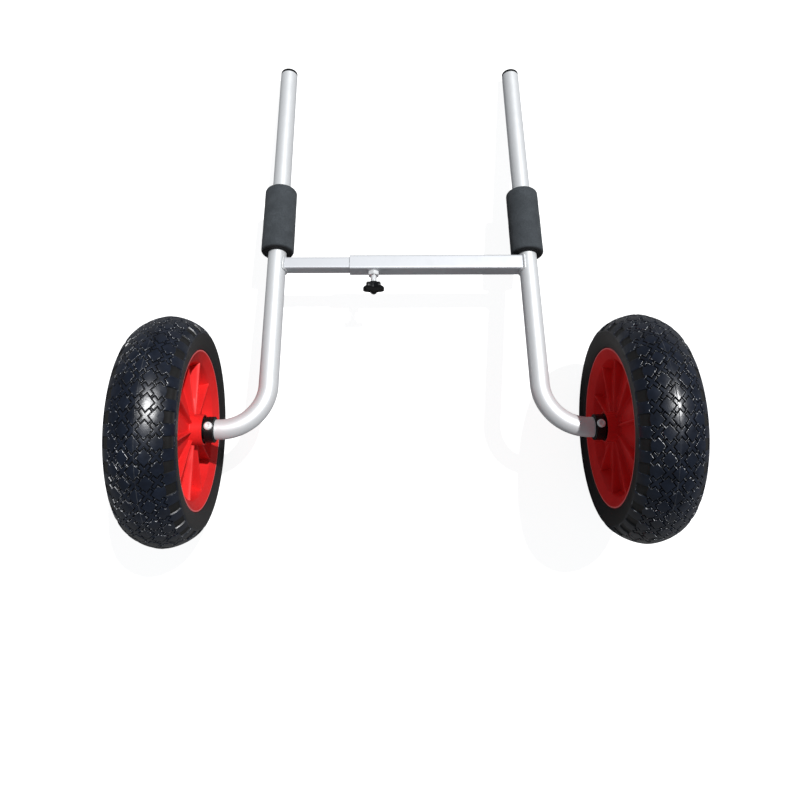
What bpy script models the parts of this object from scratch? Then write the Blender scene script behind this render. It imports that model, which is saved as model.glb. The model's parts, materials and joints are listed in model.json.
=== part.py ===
# A pair of boat launching wheels: two bent posts on a telescopic crossbar,
# with a wheel on a stub axle at each side. Metres, Z up, lying as it is put down:
# on its two tyres and on the tips of both posts.
import math

import bmesh
import bpy
from mathutils import Vector

# Posts and crossbar
POST_SPACING = 0.345          # between the centre lines of the two posts
POST_LENGTH = 0.573           # from the axle line to the very tip
TUBE_DIAMETER = 0.025
TUBE_WALL = 0.002
BEND_RADIUS = 0.057           # to the centre line of the tube
TUBE_END_STRAIGHT = 0.0045    # straight tube left after the bend
BAR_HEIGHT = 0.2315           # crossbar centre line above the axle line
OUTER_BAR_SIZE = 0.021
OUTER_BAR_WALL = 0.0016
OUTER_BAR_FREE_END = -0.0726  # where the outer bar stops, measured from the middle
INNER_BAR_WALL = 0.0015
INNER_BAR_PLAY = 0.0004       # between inner and outer bar, on each face
INNER_BAR_END = 0.068         # how far the inner bar reaches past the middle
BAR_CORNER = 0.0022
WELD_SIZE = 0.0034

# Fittings on the posts
CAP_THICKNESS = 0.0040
CAP_EDGE = 0.0009
CAP_PLUG_LENGTH = 0.013
CAP_PLUG_WALL = 0.0022
PLUG_TAPER = 0.0008           # lead-in of cap and collar plugs
PLUG_TAPER_LENGTH = 0.0045
RIGHT_FOAM_LIFT = 0.0005      # from the weld of the crossbar to the sleeve
LEFT_FOAM_LIFT = 0.0043
FOAM_LENGTH = 0.102
FOAM_DIAMETER = 0.045
FOAM_ROUNDING = 0.0045

# Axle and its fastening
AXLE_DIAMETER = 0.012
AXLE_INSIDE_TUBE = 0.020
AXLE_PAST_WHEEL = 0.036       # from the middle of the wheel to the outer end
AXLE_CHAMFER = 0.001
COLLAR_DIAMETER = 0.032
COLLAR_LENGTH = 0.0113
COLLAR_FLAT = 0.0150          # height of the two flats for screw head and nut
COLLAR_PLUG_LENGTH = 0.009
COLLAR_CHAMFER = 0.0009
SCREW_DIAMETER = 0.006
SCREW_HEAD_DIAMETER = 0.0105
SCREW_HEAD_HEIGHT = 0.0033
SOCKET_DIAMETER = 0.0042
SOCKET_DEPTH = 0.0018
HEAD_EDGE = 0.0012            # upright edge of the domed screw head
SCREW_PAST_NUT = 0.001
LOCK_NUT_WIDTH = 0.010
LOCK_NUT_HEIGHT = 0.006
NUT_CHAMFER = 0.0008
SPACER_DIAMETER = 0.023
SPACER_LENGTH = 0.003
WASHER_DIAMETER = 0.024
WASHER_THICKNESS = 0.0012
PIN_WIRE = 0.0014
PIN_EYE_RADIUS = 0.0024
PIN_EYE_LIFT = 0.0012         # of the eye above the axle
PIN_HOLE_RADIUS = 0.0021
PIN_LEG_REACH = 0.0062        # how far each bent leg reaches under the axle
PIN_LEG_DROP = 0.0013
PIN_FROM_WASHER = 0.0032

# Wheel
TYRE_DIAMETER = 0.2808
TYRE_WIDTH = 0.0776
TYRE_WAIST_DIAMETER = 0.2364  # where the tyre is widest
CROWN_POWER = 1.63            # roundness of the crown, 2 would be an ellipse
TREAD_COUNT = 30              # blocks in each row around the tyre
TREAD_ROW = 0.0120            # from row to row, along the curve of the crown
TREAD_OUTER_ROW = 2           # rows on each side of the middle one
TREAD_SHOULDER = 0.0312       # along the crown, where the grooves run out
GROOVE_WIDTH = 0.0061
GROOVE_DEPTH = 0.0020
RIM_DIAMETER = 0.1972
RIM_WIDTH = 0.0696
RIM_LIP = 0.0025
RIM_LIP_HEIGHT = 0.0016
RIM_WALL = 0.0028
RIM_MOUTH_DIAMETER = 0.170    # inside the barrel, where the flare to the lip starts
RIM_ROOT_DIAMETER = 0.160     # inside the barrel, at the web, where it is narrowest
RIM_FLARE = 0.0063            # length of the flare along the axle
HUB_DIAMETER = 0.038
HUB_INNER_REACH = 0.040       # from the middle of the wheel towards the cart
HUB_OUTER_REACH = 0.026
HUB_INNER_RECESS = 0.0043
HUB_OUTER_RECESS = 0.0023
HUB_RECESS_DIAMETER = 0.034
WEB_THICKNESS = 0.004
WEB_AT_HUB = 0.0249           # inner face of the dished web, at the hub
WEB_AT_BARREL = 0.0156
RIB_COUNT = 10
RIB_INNER_REACH = 0.0285
RIB_OUTER_REACH = 0.022
RIB_THICKNESS = 0.0032
RIB_EDGE_THICKNESS = 0.0022
BUSH_BORE = 0.0126
BUSH_WALL = 0.0027
BUSH_FLANGE = 0.002
BUSH_LENGTH = 0.020
LEFT_WHEEL_TURN = math.radians(7.5)
RIGHT_WHEEL_TURN = math.radians(28.5)
LEFT_TREAD_TURN = math.radians(2.8)     # of the tyre on its rim
RIGHT_TREAD_TURN = math.radians(8.7)

# Clamp on the crossbar
CLAMP_PLACE = -0.040          # along the crossbar, from the middle
CLAMP_SCREW_DIAMETER = 0.008
CLAMP_NUT_WIDTH = 0.0135
CLAMP_NUT_HEIGHT = 0.006
CLAMP_STEM = 0.0104           # bare screw between nut and knob
PAD_DIAMETER = 0.0068
PAD_LENGTH = 0.0023
PAD_STUD_DIAMETER = 0.003
PAD_STUD_LENGTH = 0.002
KNOB_DIAMETER = 0.030
KNOB_HEIGHT = 0.0115
KNOB_HUB_DIAMETER = 0.0130
KNOB_HUB_HEIGHT = 0.0035
KNOB_LOBES = 5
KNOB_TURN = math.radians(-18)
KNOB_LOBE_DEPTH = 0.0055
KNOB_GRIP = 0.008             # length of screw held in the knob
KNOB_EDGE = 0.0022
KNOB_DOME = 0.0006

# Clearances
GAP = 0.0003                  # between pieces that touch
HOLE_PLAY = 0.0003            # around what passes through a hole, at each side

# Facets around a full turn
TUBE_SIDES = 16
RIM_SIDES = 30
SMALL_SIDES = 12
FASTENER_SIDES = 12
COLLAR_SIDES = 20
WELD_SIDES = 6
LOBE_STEPS = 6                # facets of each knob lobe
BEND_STEPS = 7

# Places that follow from the sizes above
tube_radius = TUBE_DIAMETER / 2
bore_radius = tube_radius - TUBE_WALL
post_x = POST_SPACING / 2
tube_end = post_x + BEND_RADIUS + TUBE_END_STRAIGHT
post_top = POST_LENGTH - CAP_THICKNESS - GAP
weld_top = BAR_HEIGHT + OUTER_BAR_SIZE / 2 + GAP + WELD_SIZE
collar_start = tube_end + GAP
collar_end = collar_start + COLLAR_LENGTH
spacer_start = collar_end + GAP
inner_flange_start = spacer_start + SPACER_LENGTH + GAP
recess_floor = inner_flange_start + BUSH_FLANGE + GAP
wheel_x = recess_floor + HUB_INNER_REACH - HUB_INNER_RECESS
outer_flange_end = wheel_x + HUB_OUTER_REACH - HUB_OUTER_RECESS + GAP + BUSH_FLANGE
washer_start = outer_flange_end + GAP
pin_x = washer_start + WASHER_THICKNESS + PIN_FROM_WASHER
outer_half = OUTER_BAR_SIZE / 2
inner_half = outer_half - OUTER_BAR_WALL - INNER_BAR_PLAY
axle_radius = AXLE_DIAMETER / 2
tyre_radius = TYRE_DIAMETER / 2
cross_hole = SCREW_DIAMETER / 2 + HOLE_PLAY

# The posts slope so that the edges of their caps touch the ground with the tyres
cap_edge_reach = POST_LENGTH - CAP_EDGE
slope = (math.asin(tyre_radius / math.hypot(cap_edge_reach, tube_radius))
         - math.atan2(tube_radius, cap_edge_reach))
front_reach = POST_LENGTH * math.cos(slope) + (tube_radius - CAP_EDGE) * math.sin(slope)
axle_y = (tyre_radius - front_reach) / 2


def make_material(name, colour, roughness, metallic=0.0):
    material = bpy.data.materials.new(name)
    material.use_nodes = True
    shader = material.node_tree.nodes["Principled BSDF"]
    shader.inputs["Base Color"].default_value = (*colour, 1.0)
    shader.inputs["Roughness"].default_value = roughness
    shader.inputs["Metallic"].default_value = metallic
    return material


def make_empty(name, parent=None, location=(0, 0, 0), rotation=(0, 0, 0)):
    empty = bpy.data.objects.new(name, None)
    empty.empty_display_size = 0.03
    empty.location = location
    empty.rotation_euler = rotation
    empty.parent = parent
    bpy.context.scene.collection.objects.link(empty)
    return empty


def make_object(name, bm, material, parent, location=(0, 0, 0), rotation=(0, 0, 0)):
    mesh = bpy.data.meshes.new(name)
    bm.to_mesh(mesh)
    bm.free()
    mesh.shade_smooth()
    mesh.set_sharp_from_angle(angle=math.radians(35))
    if material is not None:
        mesh.materials.append(material)
    piece = bpy.data.objects.new(name, mesh)
    piece.location = location
    piece.rotation_euler = rotation
    piece.parent = parent
    bpy.context.scene.collection.objects.link(piece)
    return piece


def combine(piece, tool, operation):
    tool.hide_render = True
    tool.display_type = "WIRE"
    modifier = piece.modifiers.new(operation.lower() + "_" + tool.name, "BOOLEAN")
    modifier.operation = operation
    modifier.object = tool
    modifier.solver = "EXACT"


# Skins a row of rings. A ring of one point ends the row in a tip, a longer
# ring at an open end is capped, and a looped row meets itself again.
def loft(rings, looped=False):
    bm = bmesh.new()
    rows = [[bm.verts.new(point) for point in ring] for ring in rings]
    pairs = list(zip(rows, rows[1:]))
    if looped:
        pairs.append((rows[-1], rows[0]))
    else:
        for row in (rows[0], rows[-1]):
            if len(row) > 1:
                bm.faces.new(row)
    for first, second in pairs:
        count = max(len(first), len(second))
        for i in range(count):
            j = (i + 1) % count
            corners = [first[i % len(first)], first[j % len(first)],
                       second[j % len(second)], second[i % len(second)]]
            bm.faces.new(list(dict.fromkeys(corners)))
    bmesh.ops.recalc_face_normals(bm, faces=bm.faces)
    return bm


# Turns a profile of (place along X, radius) points around the X axis.
def lathe(profile, sides, looped=True, turn=0.0):
    rings = []
    for along, radius in profile:
        if radius == 0:
            rings.append([Vector((along, 0, 0))])
            continue
        angles = [turn + math.tau * i / sides for i in range(sides)]
        rings.append([Vector((along, radius * math.cos(a), radius * math.sin(a)))
                      for a in angles])
    return loft(rings, looped)


def arc_points(centre_along, centre_radius, size, start, end, steps):
    points = []
    for i in range(steps + 1):
        angle = math.radians(start + (end - start) * i / steps)
        points.append((centre_along + size * math.cos(angle),
                       centre_radius + size * math.sin(angle)))
    return points


def rounded_square(x, half_s, half_n, corner, steps=2):
    ring = []
    for quarter in range(4):
        middle = math.radians(45 + 90 * quarter)
        centre_s = math.copysign(half_s - corner, math.cos(middle))
        centre_n = math.copysign(half_n - corner, math.sin(middle))
        for i in range(steps + 1):
            angle = math.radians(90 * quarter + 90 * i / steps)
            ring.append(Vector((x, centre_s + corner * math.cos(angle),
                                centre_n + corner * math.sin(angle))))
    return ring


# Rings of the bent post around its centre line, from the tip to the axle end.
def post_rings(side, radius):
    stations = [(post_x, post_top, 0.0)]
    for i in range(BEND_STEPS + 1):
        angle = math.pi / 2 * i / BEND_STEPS
        stations.append((post_x + BEND_RADIUS * (1 - math.cos(angle)),
                         BEND_RADIUS * (1 - math.sin(angle)), angle))
    stations.append((tube_end, 0.0, math.pi / 2))
    rings = []
    for x, s, angle in stations:
        across = Vector((math.cos(angle), math.sin(angle), 0))
        ring = []
        for i in range(TUBE_SIDES):
            turn = math.tau * (i + 0.5) / TUBE_SIDES
            point = Vector((x, s, 0)) + radius * (math.cos(turn) * across
                                                  + math.sin(turn) * Vector((0, 0, 1)))
            ring.append(Vector((side * point.x, point.y, point.z)))
        rings.append(ring)
    return rings


def make_post_tube(name, side, parent):
    rings = post_rings(side, tube_radius) + list(reversed(post_rings(side, bore_radius)))
    return make_object(name, loft(rings, looped=True), aluminium, parent)


def make_end_cap(name, side, parent):
    plug = bore_radius - HOLE_PLAY
    hollow = plug - CAP_PLUG_WALL
    profile = [
        (-CAP_PLUG_LENGTH, hollow),
        (-CAP_PLUG_LENGTH, plug - PLUG_TAPER),
        (-CAP_PLUG_LENGTH + PLUG_TAPER_LENGTH, plug),
        (0, plug),
        (0, tube_radius),
        (CAP_THICKNESS - CAP_EDGE, tube_radius),
        (CAP_THICKNESS, tube_radius - CAP_EDGE),
        (CAP_THICKNESS, 0),
    ]
    profile = [(-CAP_THICKNESS, 0), (-CAP_THICKNESS, hollow)] + profile
    place = (side * post_x, POST_LENGTH - CAP_THICKNESS, 0)
    bm = lathe(profile, TUBE_SIDES, looped=False, turn=math.pi / TUBE_SIDES)
    return make_object(name, bm, black_plastic, parent, place, (0, 0, math.pi / 2))


def make_foam_sleeve(name, side, lift, parent):
    inner = tube_radius + GAP
    outer = FOAM_DIAMETER / 2
    size = FOAM_ROUNDING
    profile = [(0, inner)]
    profile += arc_points(size, outer - size, size, 180, 90, 2)
    profile += arc_points(FOAM_LENGTH - size, outer - size, size, 90, 0, 2)
    profile += [(FOAM_LENGTH, inner)]
    place = (side * post_x, weld_top + lift, 0)
    bm = lathe(profile, TUBE_SIDES, turn=math.pi / TUBE_SIDES)
    return make_object(name, bm, foam, parent, place, (0, 0, math.pi / 2))


# A square tube along the crossbar, coped at the end that meets its post.
def make_bar(name, side, half, wall, corner, free_end, parent):
    outer = (half, half, corner)
    inner = (half - wall, half - wall, corner - 0.4 * wall)
    rings = [rounded_square(side * post_x, *outer), rounded_square(free_end, *outer),
             rounded_square(free_end, *inner), rounded_square(side * post_x, *inner)]
    bar = make_object(name, loft(rings, looped=True), aluminium, parent, (0, BAR_HEIGHT, 0))
    cope = make_post_cutter(name + "_cope", side, parent)
    combine(bar, cope, "DIFFERENCE")
    return bar


def make_post_cutter(name, side, parent):
    profile = [(-2 * OUTER_BAR_SIZE, 0), (-2 * OUTER_BAR_SIZE, tube_radius + GAP),
               (2 * OUTER_BAR_SIZE, tube_radius + GAP), (2 * OUTER_BAR_SIZE, 0)]
    bm = lathe(profile, 2 * TUBE_SIDES, looped=False)
    return make_object(name, bm, None, parent, (side * post_x, BAR_HEIGHT, 0),
                       (0, 0, math.pi / 2))


# The weld runs round the bar in the corner between the bar and the round post.
def make_weld(name, side, half, corner, parent):
    path = rounded_square(0, half + GAP, half + GAP, corner + GAP)
    rings = []
    for point in path:
        outward = point.normalized()
        reach = math.sqrt((tube_radius + GAP) ** 2 - min(abs(point.z), 0.9 * tube_radius) ** 2)
        corner_point = Vector((post_x - reach, point.y, point.z))
        ring = []
        for i in range(WELD_SIDES):
            turn = math.tau * i / WELD_SIDES
            shift = (WELD_SIZE * math.cos(turn) * Vector((1, 0, 0))
                     + WELD_SIZE * math.sin(turn) * outward)
            spot = corner_point + shift
            ring.append(Vector((side * spot.x, spot.y, spot.z)))
        rings.append(ring)
    weld = make_object(name, loft(rings, looped=True), weld_metal, parent, (0, BAR_HEIGHT, 0))
    inside = (half + GAP, half + GAP, corner + GAP)
    trim_rings = [rounded_square(side * (post_x - TUBE_DIAMETER), *inside),
                  rounded_square(side * post_x, *inside)]
    bar_trim = make_object(name + "_bar_trim", loft(trim_rings), None, parent,
                           (0, BAR_HEIGHT, 0))
    combine(weld, bar_trim, "DIFFERENCE")
    combine(weld, make_post_cutter(name + "_post_trim", side, parent), "DIFFERENCE")
    return weld


def make_cross_cutter(name, radius, reach, parent, location):
    profile = [(-reach, 0), (-reach, radius), (reach, radius), (reach, 0)]
    bm = lathe(profile, FASTENER_SIDES, looped=False)
    return make_object(name, bm, None, parent, location, (0, -math.pi / 2, 0))


def make_axle_collar(name, side, parent):
    bore = axle_radius + HOLE_PLAY
    plug = bore_radius - HOLE_PLAY
    edge = COLLAR_DIAMETER / 2
    chamfer = COLLAR_CHAMFER
    profile = [
        (-COLLAR_PLUG_LENGTH, bore),
        (-COLLAR_PLUG_LENGTH, plug - PLUG_TAPER),
        (-COLLAR_PLUG_LENGTH + PLUG_TAPER_LENGTH, plug),
        (0, plug),
        (0, edge),
        (COLLAR_LENGTH - chamfer, edge),
        (COLLAR_LENGTH, edge - chamfer),
        (COLLAR_LENGTH, bore),
    ]
    bm = lathe([(side * along, radius) for along, radius in profile], COLLAR_SIDES)
    for vert in bm.verts:
        vert.co.z = max(-COLLAR_FLAT, min(COLLAR_FLAT, vert.co.z))
    collar = make_object(name, bm, black_plastic, parent, (side * collar_start, 0, 0))
    hole = make_cross_cutter(name + "_hole", cross_hole, COLLAR_DIAMETER, parent,
                             (side * (collar_start + COLLAR_LENGTH / 2), 0, 0))
    combine(collar, hole, "DIFFERENCE")
    return collar


def make_axle(name, side, parent):
    start = tube_end - AXLE_INSIDE_TUBE
    end = wheel_x + AXLE_PAST_WHEEL
    profile = [(start, 0), (start, axle_radius), (end - AXLE_CHAMFER, axle_radius),
               (end, axle_radius - AXLE_CHAMFER), (end, 0)]
    bm = lathe([(side * along, radius) for along, radius in profile], SMALL_SIDES,
               looped=False)
    axle = make_object(name, bm, steel, parent)
    screw_hole = make_cross_cutter(name + "_screw_hole", cross_hole, AXLE_DIAMETER, parent,
                                   (side * (collar_start + COLLAR_LENGTH / 2), 0, 0))
    pin_hole = make_cross_cutter(name + "_pin_hole", PIN_HOLE_RADIUS, AXLE_DIAMETER,
                                 parent, (side * pin_x, 0, 0))
    combine(axle, screw_hole, "DIFFERENCE")
    combine(axle, pin_hole, "DIFFERENCE")
    return axle


def make_collar_screw(name, side, parent):
    seat = COLLAR_FLAT + GAP
    top = seat + SCREW_HEAD_HEIGHT
    head = SCREW_HEAD_DIAMETER / 2
    shank = SCREW_DIAMETER / 2
    profile = [
        (top - SOCKET_DEPTH, 0),
        (top - SOCKET_DEPTH, SOCKET_DIAMETER / 2),
        (top, SOCKET_DIAMETER / 2),
        (seat + HEAD_EDGE, head),
        (seat, head),
        (seat, shank),
        (-seat - LOCK_NUT_HEIGHT - SCREW_PAST_NUT, shank),
        (-seat - LOCK_NUT_HEIGHT - SCREW_PAST_NUT, 0),
    ]
    place = (side * (collar_start + COLLAR_LENGTH / 2), 0, 0)
    return make_object(name, lathe(profile, FASTENER_SIDES, looped=False), steel, parent,
                       place, (0, -math.pi / 2, 0))


# A hexagon nut with chamfered corners, from x = 0 to its height.
def nut_mesh(width, height, bore):
    corner = width / 2 / math.cos(math.pi / 6)
    face = width / 2 - GAP
    profile = [(0, bore), (0, face), (NUT_CHAMFER, corner), (height - NUT_CHAMFER, corner),
               (height, face), (height, bore)]
    bm = lathe(profile, FASTENER_SIDES)
    for vert in bm.verts:
        radius = math.hypot(vert.co.y, vert.co.z)
        angle = math.atan2(vert.co.z, vert.co.y)
        flat = width / 2 / math.cos((angle + math.pi / 6) % (math.pi / 3) - math.pi / 6)
        if radius > flat:
            vert.co.y *= flat / radius
            vert.co.z *= flat / radius
    return bm


def make_collar_nut(name, side, parent):
    place = (side * (collar_start + COLLAR_LENGTH / 2), 0, -COLLAR_FLAT - GAP)
    bm = nut_mesh(LOCK_NUT_WIDTH, LOCK_NUT_HEIGHT, cross_hole)
    return make_object(name, bm, steel, parent, place, (0, math.pi / 2, 0))


def make_ring(name, side, start, length, diameter, material, parent):
    bore = axle_radius + HOLE_PLAY
    radius = diameter / 2
    profile = [(0, bore), (0, radius), (length, radius), (length, bore)]
    bm = lathe([(side * along, size) for along, size in profile], SMALL_SIDES)
    return make_object(name, bm, material, parent, (side * start, 0, 0))


# A split pin: one wire that runs up through the axle, round its eye and down again.
def make_split_pin(name, side, parent):
    spread = PIN_WIRE / 2 + GAP / 2
    eye_height = axle_radius + PIN_WIRE / 2 + PIN_EYE_RADIUS + PIN_EYE_LIFT
    below = axle_radius + PIN_LEG_DROP
    leg = [(PIN_LEG_REACH, -below + PIN_WIRE / 2), (PIN_LEG_REACH / 2, -below),
           (spread, -axle_radius + PIN_WIRE / 2), (spread, axle_radius + PIN_WIRE / 2)]
    steps = 6
    mouth = 62                  # degrees of the eye that stay open
    eye = []
    for i in range(steps + 1):
        angle = math.radians(-90 + mouth / 2 + (360 - mouth) * i / steps)
        eye.append((PIN_EYE_RADIUS * math.cos(angle),
                    eye_height + PIN_EYE_RADIUS * math.sin(angle)))
    points = leg + eye + [(-s, n) for s, n in reversed(leg)]
    curve = bpy.data.curves.new(name, "CURVE")
    curve.dimensions = "3D"
    curve.bevel_depth = PIN_WIRE / 2
    curve.bevel_resolution = 1
    curve.use_fill_caps = True
    spline = curve.splines.new("POLY")
    spline.points.add(len(points) - 1)
    for point, (s, n) in zip(spline.points, points):
        point.co = (0, s, n, 1)
    curve.materials.append(steel)
    pin = bpy.data.objects.new(name, curve)
    pin.parent = parent
    pin.location = (side * pin_x, 0, 0)
    bpy.context.scene.collection.objects.link(pin)
    return pin


# Profiles of the wheel use u, the distance from its middle towards the cart.
def wheel_lathe(profile, side, sides, looped=True):
    return lathe([(-side * u, radius) for u, radius in profile], sides, looped)


# The inside of the barrel from lip to lip. Both halves widen from the web outward.
def barrel_inside():
    half = RIM_WIDTH / 2
    edge = RIM_DIAMETER / 2 - RIM_LIP_HEIGHT
    mouth = RIM_MOUTH_DIAMETER / 2
    root = Vector((WEB_AT_BARREL - WEB_THICKNESS / 2, RIM_ROOT_DIAMETER / 2))
    return [Vector((half, edge)), Vector((half - RIM_FLARE, mouth)), root,
            Vector((RIM_FLARE - half, mouth)), Vector((-half, edge))]


# The corners of the barrel's other side, where the tyre sits, a distance outside the first.
def barrel_outside(distance):
    inside = barrel_inside()
    corners = []
    for before, corner, after in zip(inside, inside[1:], inside[2:]):
        first = (before - corner).orthogonal().normalized()
        second = (corner - after).orthogonal().normalized()
        corners.append(corner + (first + second) * distance / (1 + first.dot(second)))
    return corners


def barrel_radius(u):
    inside = barrel_inside()
    for high, low in zip(inside, inside[1:]):
        if high.x >= u >= low.x:
            return low.y + (high.y - low.y) * (u - low.x) / (high.x - low.x)


def make_rim(name, side, parent):
    lip = RIM_DIAMETER / 2
    edge = lip - RIM_LIP_HEIGHT
    mouth = RIM_MOUTH_DIAMETER / 2
    root = RIM_ROOT_DIAMETER / 2
    half = RIM_WIDTH / 2
    hub = HUB_DIAMETER / 2
    recess = HUB_RECESS_DIAMETER / 2
    bore = BUSH_BORE / 2 + BUSH_WALL + HOLE_PLAY
    profile = [
        (HUB_INNER_REACH, recess),
        (HUB_INNER_REACH, hub),
        (WEB_AT_HUB, hub),
        (WEB_AT_BARREL, root),
        (half - RIM_FLARE, mouth),
        (half, edge),
        (half, lip),
        (half - RIM_LIP, lip),
        *barrel_outside(RIM_WALL),
        (RIM_LIP - half, lip),
        (-half, lip),
        (-half, edge),
        (RIM_FLARE - half, mouth),
        (WEB_AT_BARREL - WEB_THICKNESS, root),
        (WEB_AT_HUB - WEB_THICKNESS, hub),
        (-HUB_OUTER_REACH, hub),
        (-HUB_OUTER_REACH, recess),
        (HUB_OUTER_RECESS - HUB_OUTER_REACH, recess),
        (HUB_OUTER_RECESS - HUB_OUTER_REACH, bore),
        (HUB_INNER_REACH - HUB_INNER_RECESS, bore),
        (HUB_INNER_REACH - HUB_INNER_RECESS, recess),
    ]
    rim = make_object(name, wheel_lathe(profile, side, RIM_SIDES), red_plastic, parent)
    combine(rim, make_ribs(name + "_ribs", side, parent), "UNION")
    return rim


# Ten radial ribs, thickest at the web and drafted towards both free edges.
def make_ribs(name, side, parent):
    start = (HUB_DIAMETER / 2 + BUSH_BORE / 2 + BUSH_WALL) / 2
    thick = RIB_THICKNESS / 2
    thin = RIB_EDGE_THICKNESS / 2
    root = WEB_AT_BARREL - WEB_THICKNESS / 2
    section = [(RIB_INNER_REACH, thin), (root, thick), (-RIB_OUTER_REACH, thin)]
    joined = bmesh.new()
    for i in range(RIB_COUNT):
        angle = math.tau * i / RIB_COUNT
        outward = Vector((0, math.cos(angle), math.sin(angle)))
        sideways = Vector((0, -math.sin(angle), math.cos(angle)))
        rings = []
        for u, width in section:
            middle = Vector((-side * u, 0, 0))
            end = barrel_radius(u) + RIM_WALL / 2
            rings.append([middle + radius * outward + reach * sideways for radius, reach in
                          ((start, -width), (start, width), (end, width), (end, -width))])
        rib = loft(rings)
        copy = bpy.data.meshes.new("rib")
        rib.to_mesh(copy)
        rib.free()
        joined.from_mesh(copy)
        bpy.data.meshes.remove(copy)
    return make_object(name, joined, None, parent)


# The crown from the middle of the tread to the waist, as (distance along it, u, radius).
def crown_curve():
    half = TYRE_WIDTH / 2
    waist = TYRE_WAIST_DIAMETER / 2
    power = 2 / CROWN_POWER
    steps = 160
    places = [(0.0, 0.0, tyre_radius)]
    for i in range(1, steps + 1):
        angle = math.pi / 2 * i / steps
        u = half * math.sin(angle) ** power
        radius = waist + (tyre_radius - waist) * abs(math.cos(angle)) ** power
        distance, last_u, last_radius = places[-1]
        places.append((distance + math.hypot(u - last_u, radius - last_radius), u, radius))
    return places


def crown_place(curve, distance):
    for (low, low_u, low_radius), (high, high_u, high_radius) in zip(curve, curve[1:]):
        if high >= abs(distance):
            share = (abs(distance) - low) / (high - low)
            u = low_u + share * (high_u - low_u)
            return math.copysign(u, distance), low_radius + share * (high_radius - low_radius)
    return math.copysign(curve[-1][1], distance), curve[-1][2]


# The tread is a lattice of diamond blocks with grooves between them. A spot on it has a
# row, a column in half blocks and a drop below the crown.
def make_tyre(name, side, turn, parent):
    curve = crown_curve()
    columns = 2 * TREAD_COUNT
    half_block = math.pi * tyre_radius / TREAD_COUNT
    block_reach = TREAD_ROW * half_block / math.hypot(TREAD_ROW, half_block)
    top = 1 - GROOVE_WIDTH / 2 / block_reach
    run_out = TREAD_SHOULDER / TREAD_ROW - TREAD_OUTER_ROW
    bm = bmesh.new()
    made = {}

    def place(u, radius, column):
        angle = turn + math.tau * column / columns
        return Vector((-side * u, radius * math.cos(angle), radius * math.sin(angle)))

    def spot(row, column, drop=0.0):
        key = (round(row, 4), round(column % columns, 4))
        if key not in made:
            u, radius = crown_place(curve, row * TREAD_ROW)
            made[key] = bm.verts.new(place(u, radius - drop, column))
        return made[key]

    for row in range(-TREAD_OUTER_ROW, TREAD_OUTER_ROW + 1):
        for column in range((row + 1) % 2, columns, 2):
            west = spot(row, column - top)
            east = spot(row, column + top)
            west_floor = spot(row, column - 1, GROOVE_DEPTH)
            east_floor = spot(row, column + 1, GROOVE_DEPTH)
            ends = []
            for way in (-1, 1):
                if abs(row + way) <= TREAD_OUTER_ROW:
                    end = spot(row + way * top, column)
                    floor = spot(row + way, column, GROOVE_DEPTH)
                    ends.append(end)
                    bm.faces.new((west_floor, floor, end, west))
                    bm.faces.new((floor, east_floor, east, end))
                    continue
                edge = row + way * run_out
                far_west = spot(edge, column - 1 + run_out)
                far_east = spot(edge, column + 1 - run_out)
                next_west = spot(edge, column + 1 + run_out)
                tip = spot(row + way * (1 - top), column + 1)
                bm.faces.new((west, far_west, far_east, east))
                bm.faces.new((west_floor, west, far_west))
                bm.faces.new((east_floor, far_east, east))
                bm.faces.new((east_floor, tip, far_east))
                bm.faces.new((east_floor, next_west, tip))
                bm.faces.new((tip, next_west, far_east))
            ends.insert(1, east)
            bm.faces.new((west, *ends))

    bead = RIM_WIDTH / 2 - RIM_LIP - GAP
    lip = RIM_DIAMETER / 2 + GAP
    flank = [(TYRE_WIDTH / 2, TYRE_WAIST_DIAMETER / 2), (RIM_WIDTH / 2 + GAP, lip + GAP),
             (bead, lip)]
    nodes = range(0, columns, 2)

    def ring(u, radius):
        corner_share = 1 / math.cos(math.pi / TREAD_COUNT)     # so that the flats clear the rim
        return [bm.verts.new(place(u, radius * corner_share, node)) for node in nodes]

    beads = []
    for way in (1, -1):
        edge = way * (TREAD_OUTER_ROW + run_out)
        rings = [ring(way * u, radius) for u, radius in flank]
        for i, node in enumerate(nodes):
            corner = rings[0][i]
            next_corner = rings[0][(i + 1) % TREAD_COUNT]
            east = spot(edge, node + run_out)
            bm.faces.new((spot(edge, node - run_out), east, corner))
            bm.faces.new((east, spot(edge, node + 2 - run_out), next_corner, corner))
        for first, second in zip(rings, rings[1:]):
            join_rings(bm, first, second)
        beads.append(rings[-1])
    seats = [ring(u, radius) for u, radius in barrel_outside(RIM_WALL + GAP)]
    bore = [beads[0], *seats, beads[1]]
    for first, second in zip(bore, bore[1:]):
        join_rings(bm, first, second)
    bmesh.ops.recalc_face_normals(bm, faces=bm.faces)
    return make_object(name, bm, rubber, parent)


def join_rings(bm, first, second):
    for i in range(len(first)):
        j = (i + 1) % len(first)
        bm.faces.new((first[i], first[j], second[j], second[i]))


def make_bush(name, side, start, direction, parent):
    bore = BUSH_BORE / 2
    sleeve = bore + BUSH_WALL
    flange = HUB_RECESS_DIAMETER / 2 - HOLE_PLAY
    profile = [(0, bore), (0, flange), (BUSH_FLANGE, flange), (BUSH_FLANGE, sleeve),
               (BUSH_LENGTH, sleeve), (BUSH_LENGTH, bore)]
    bm = lathe([(side * direction * along, radius) for along, radius in profile], SMALL_SIDES)
    return make_object(name, bm, black_plastic, parent, (side * (start - wheel_x), 0, 0))


# The clamp's own axis runs from the crossbar down towards the axle line.
def make_clamp_nut(name, parent):
    bm = nut_mesh(CLAMP_NUT_WIDTH, CLAMP_NUT_HEIGHT, CLAMP_SCREW_DIAMETER / 2 + HOLE_PLAY)
    return make_object(name, bm, steel, parent, (GAP, 0, 0))


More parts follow.
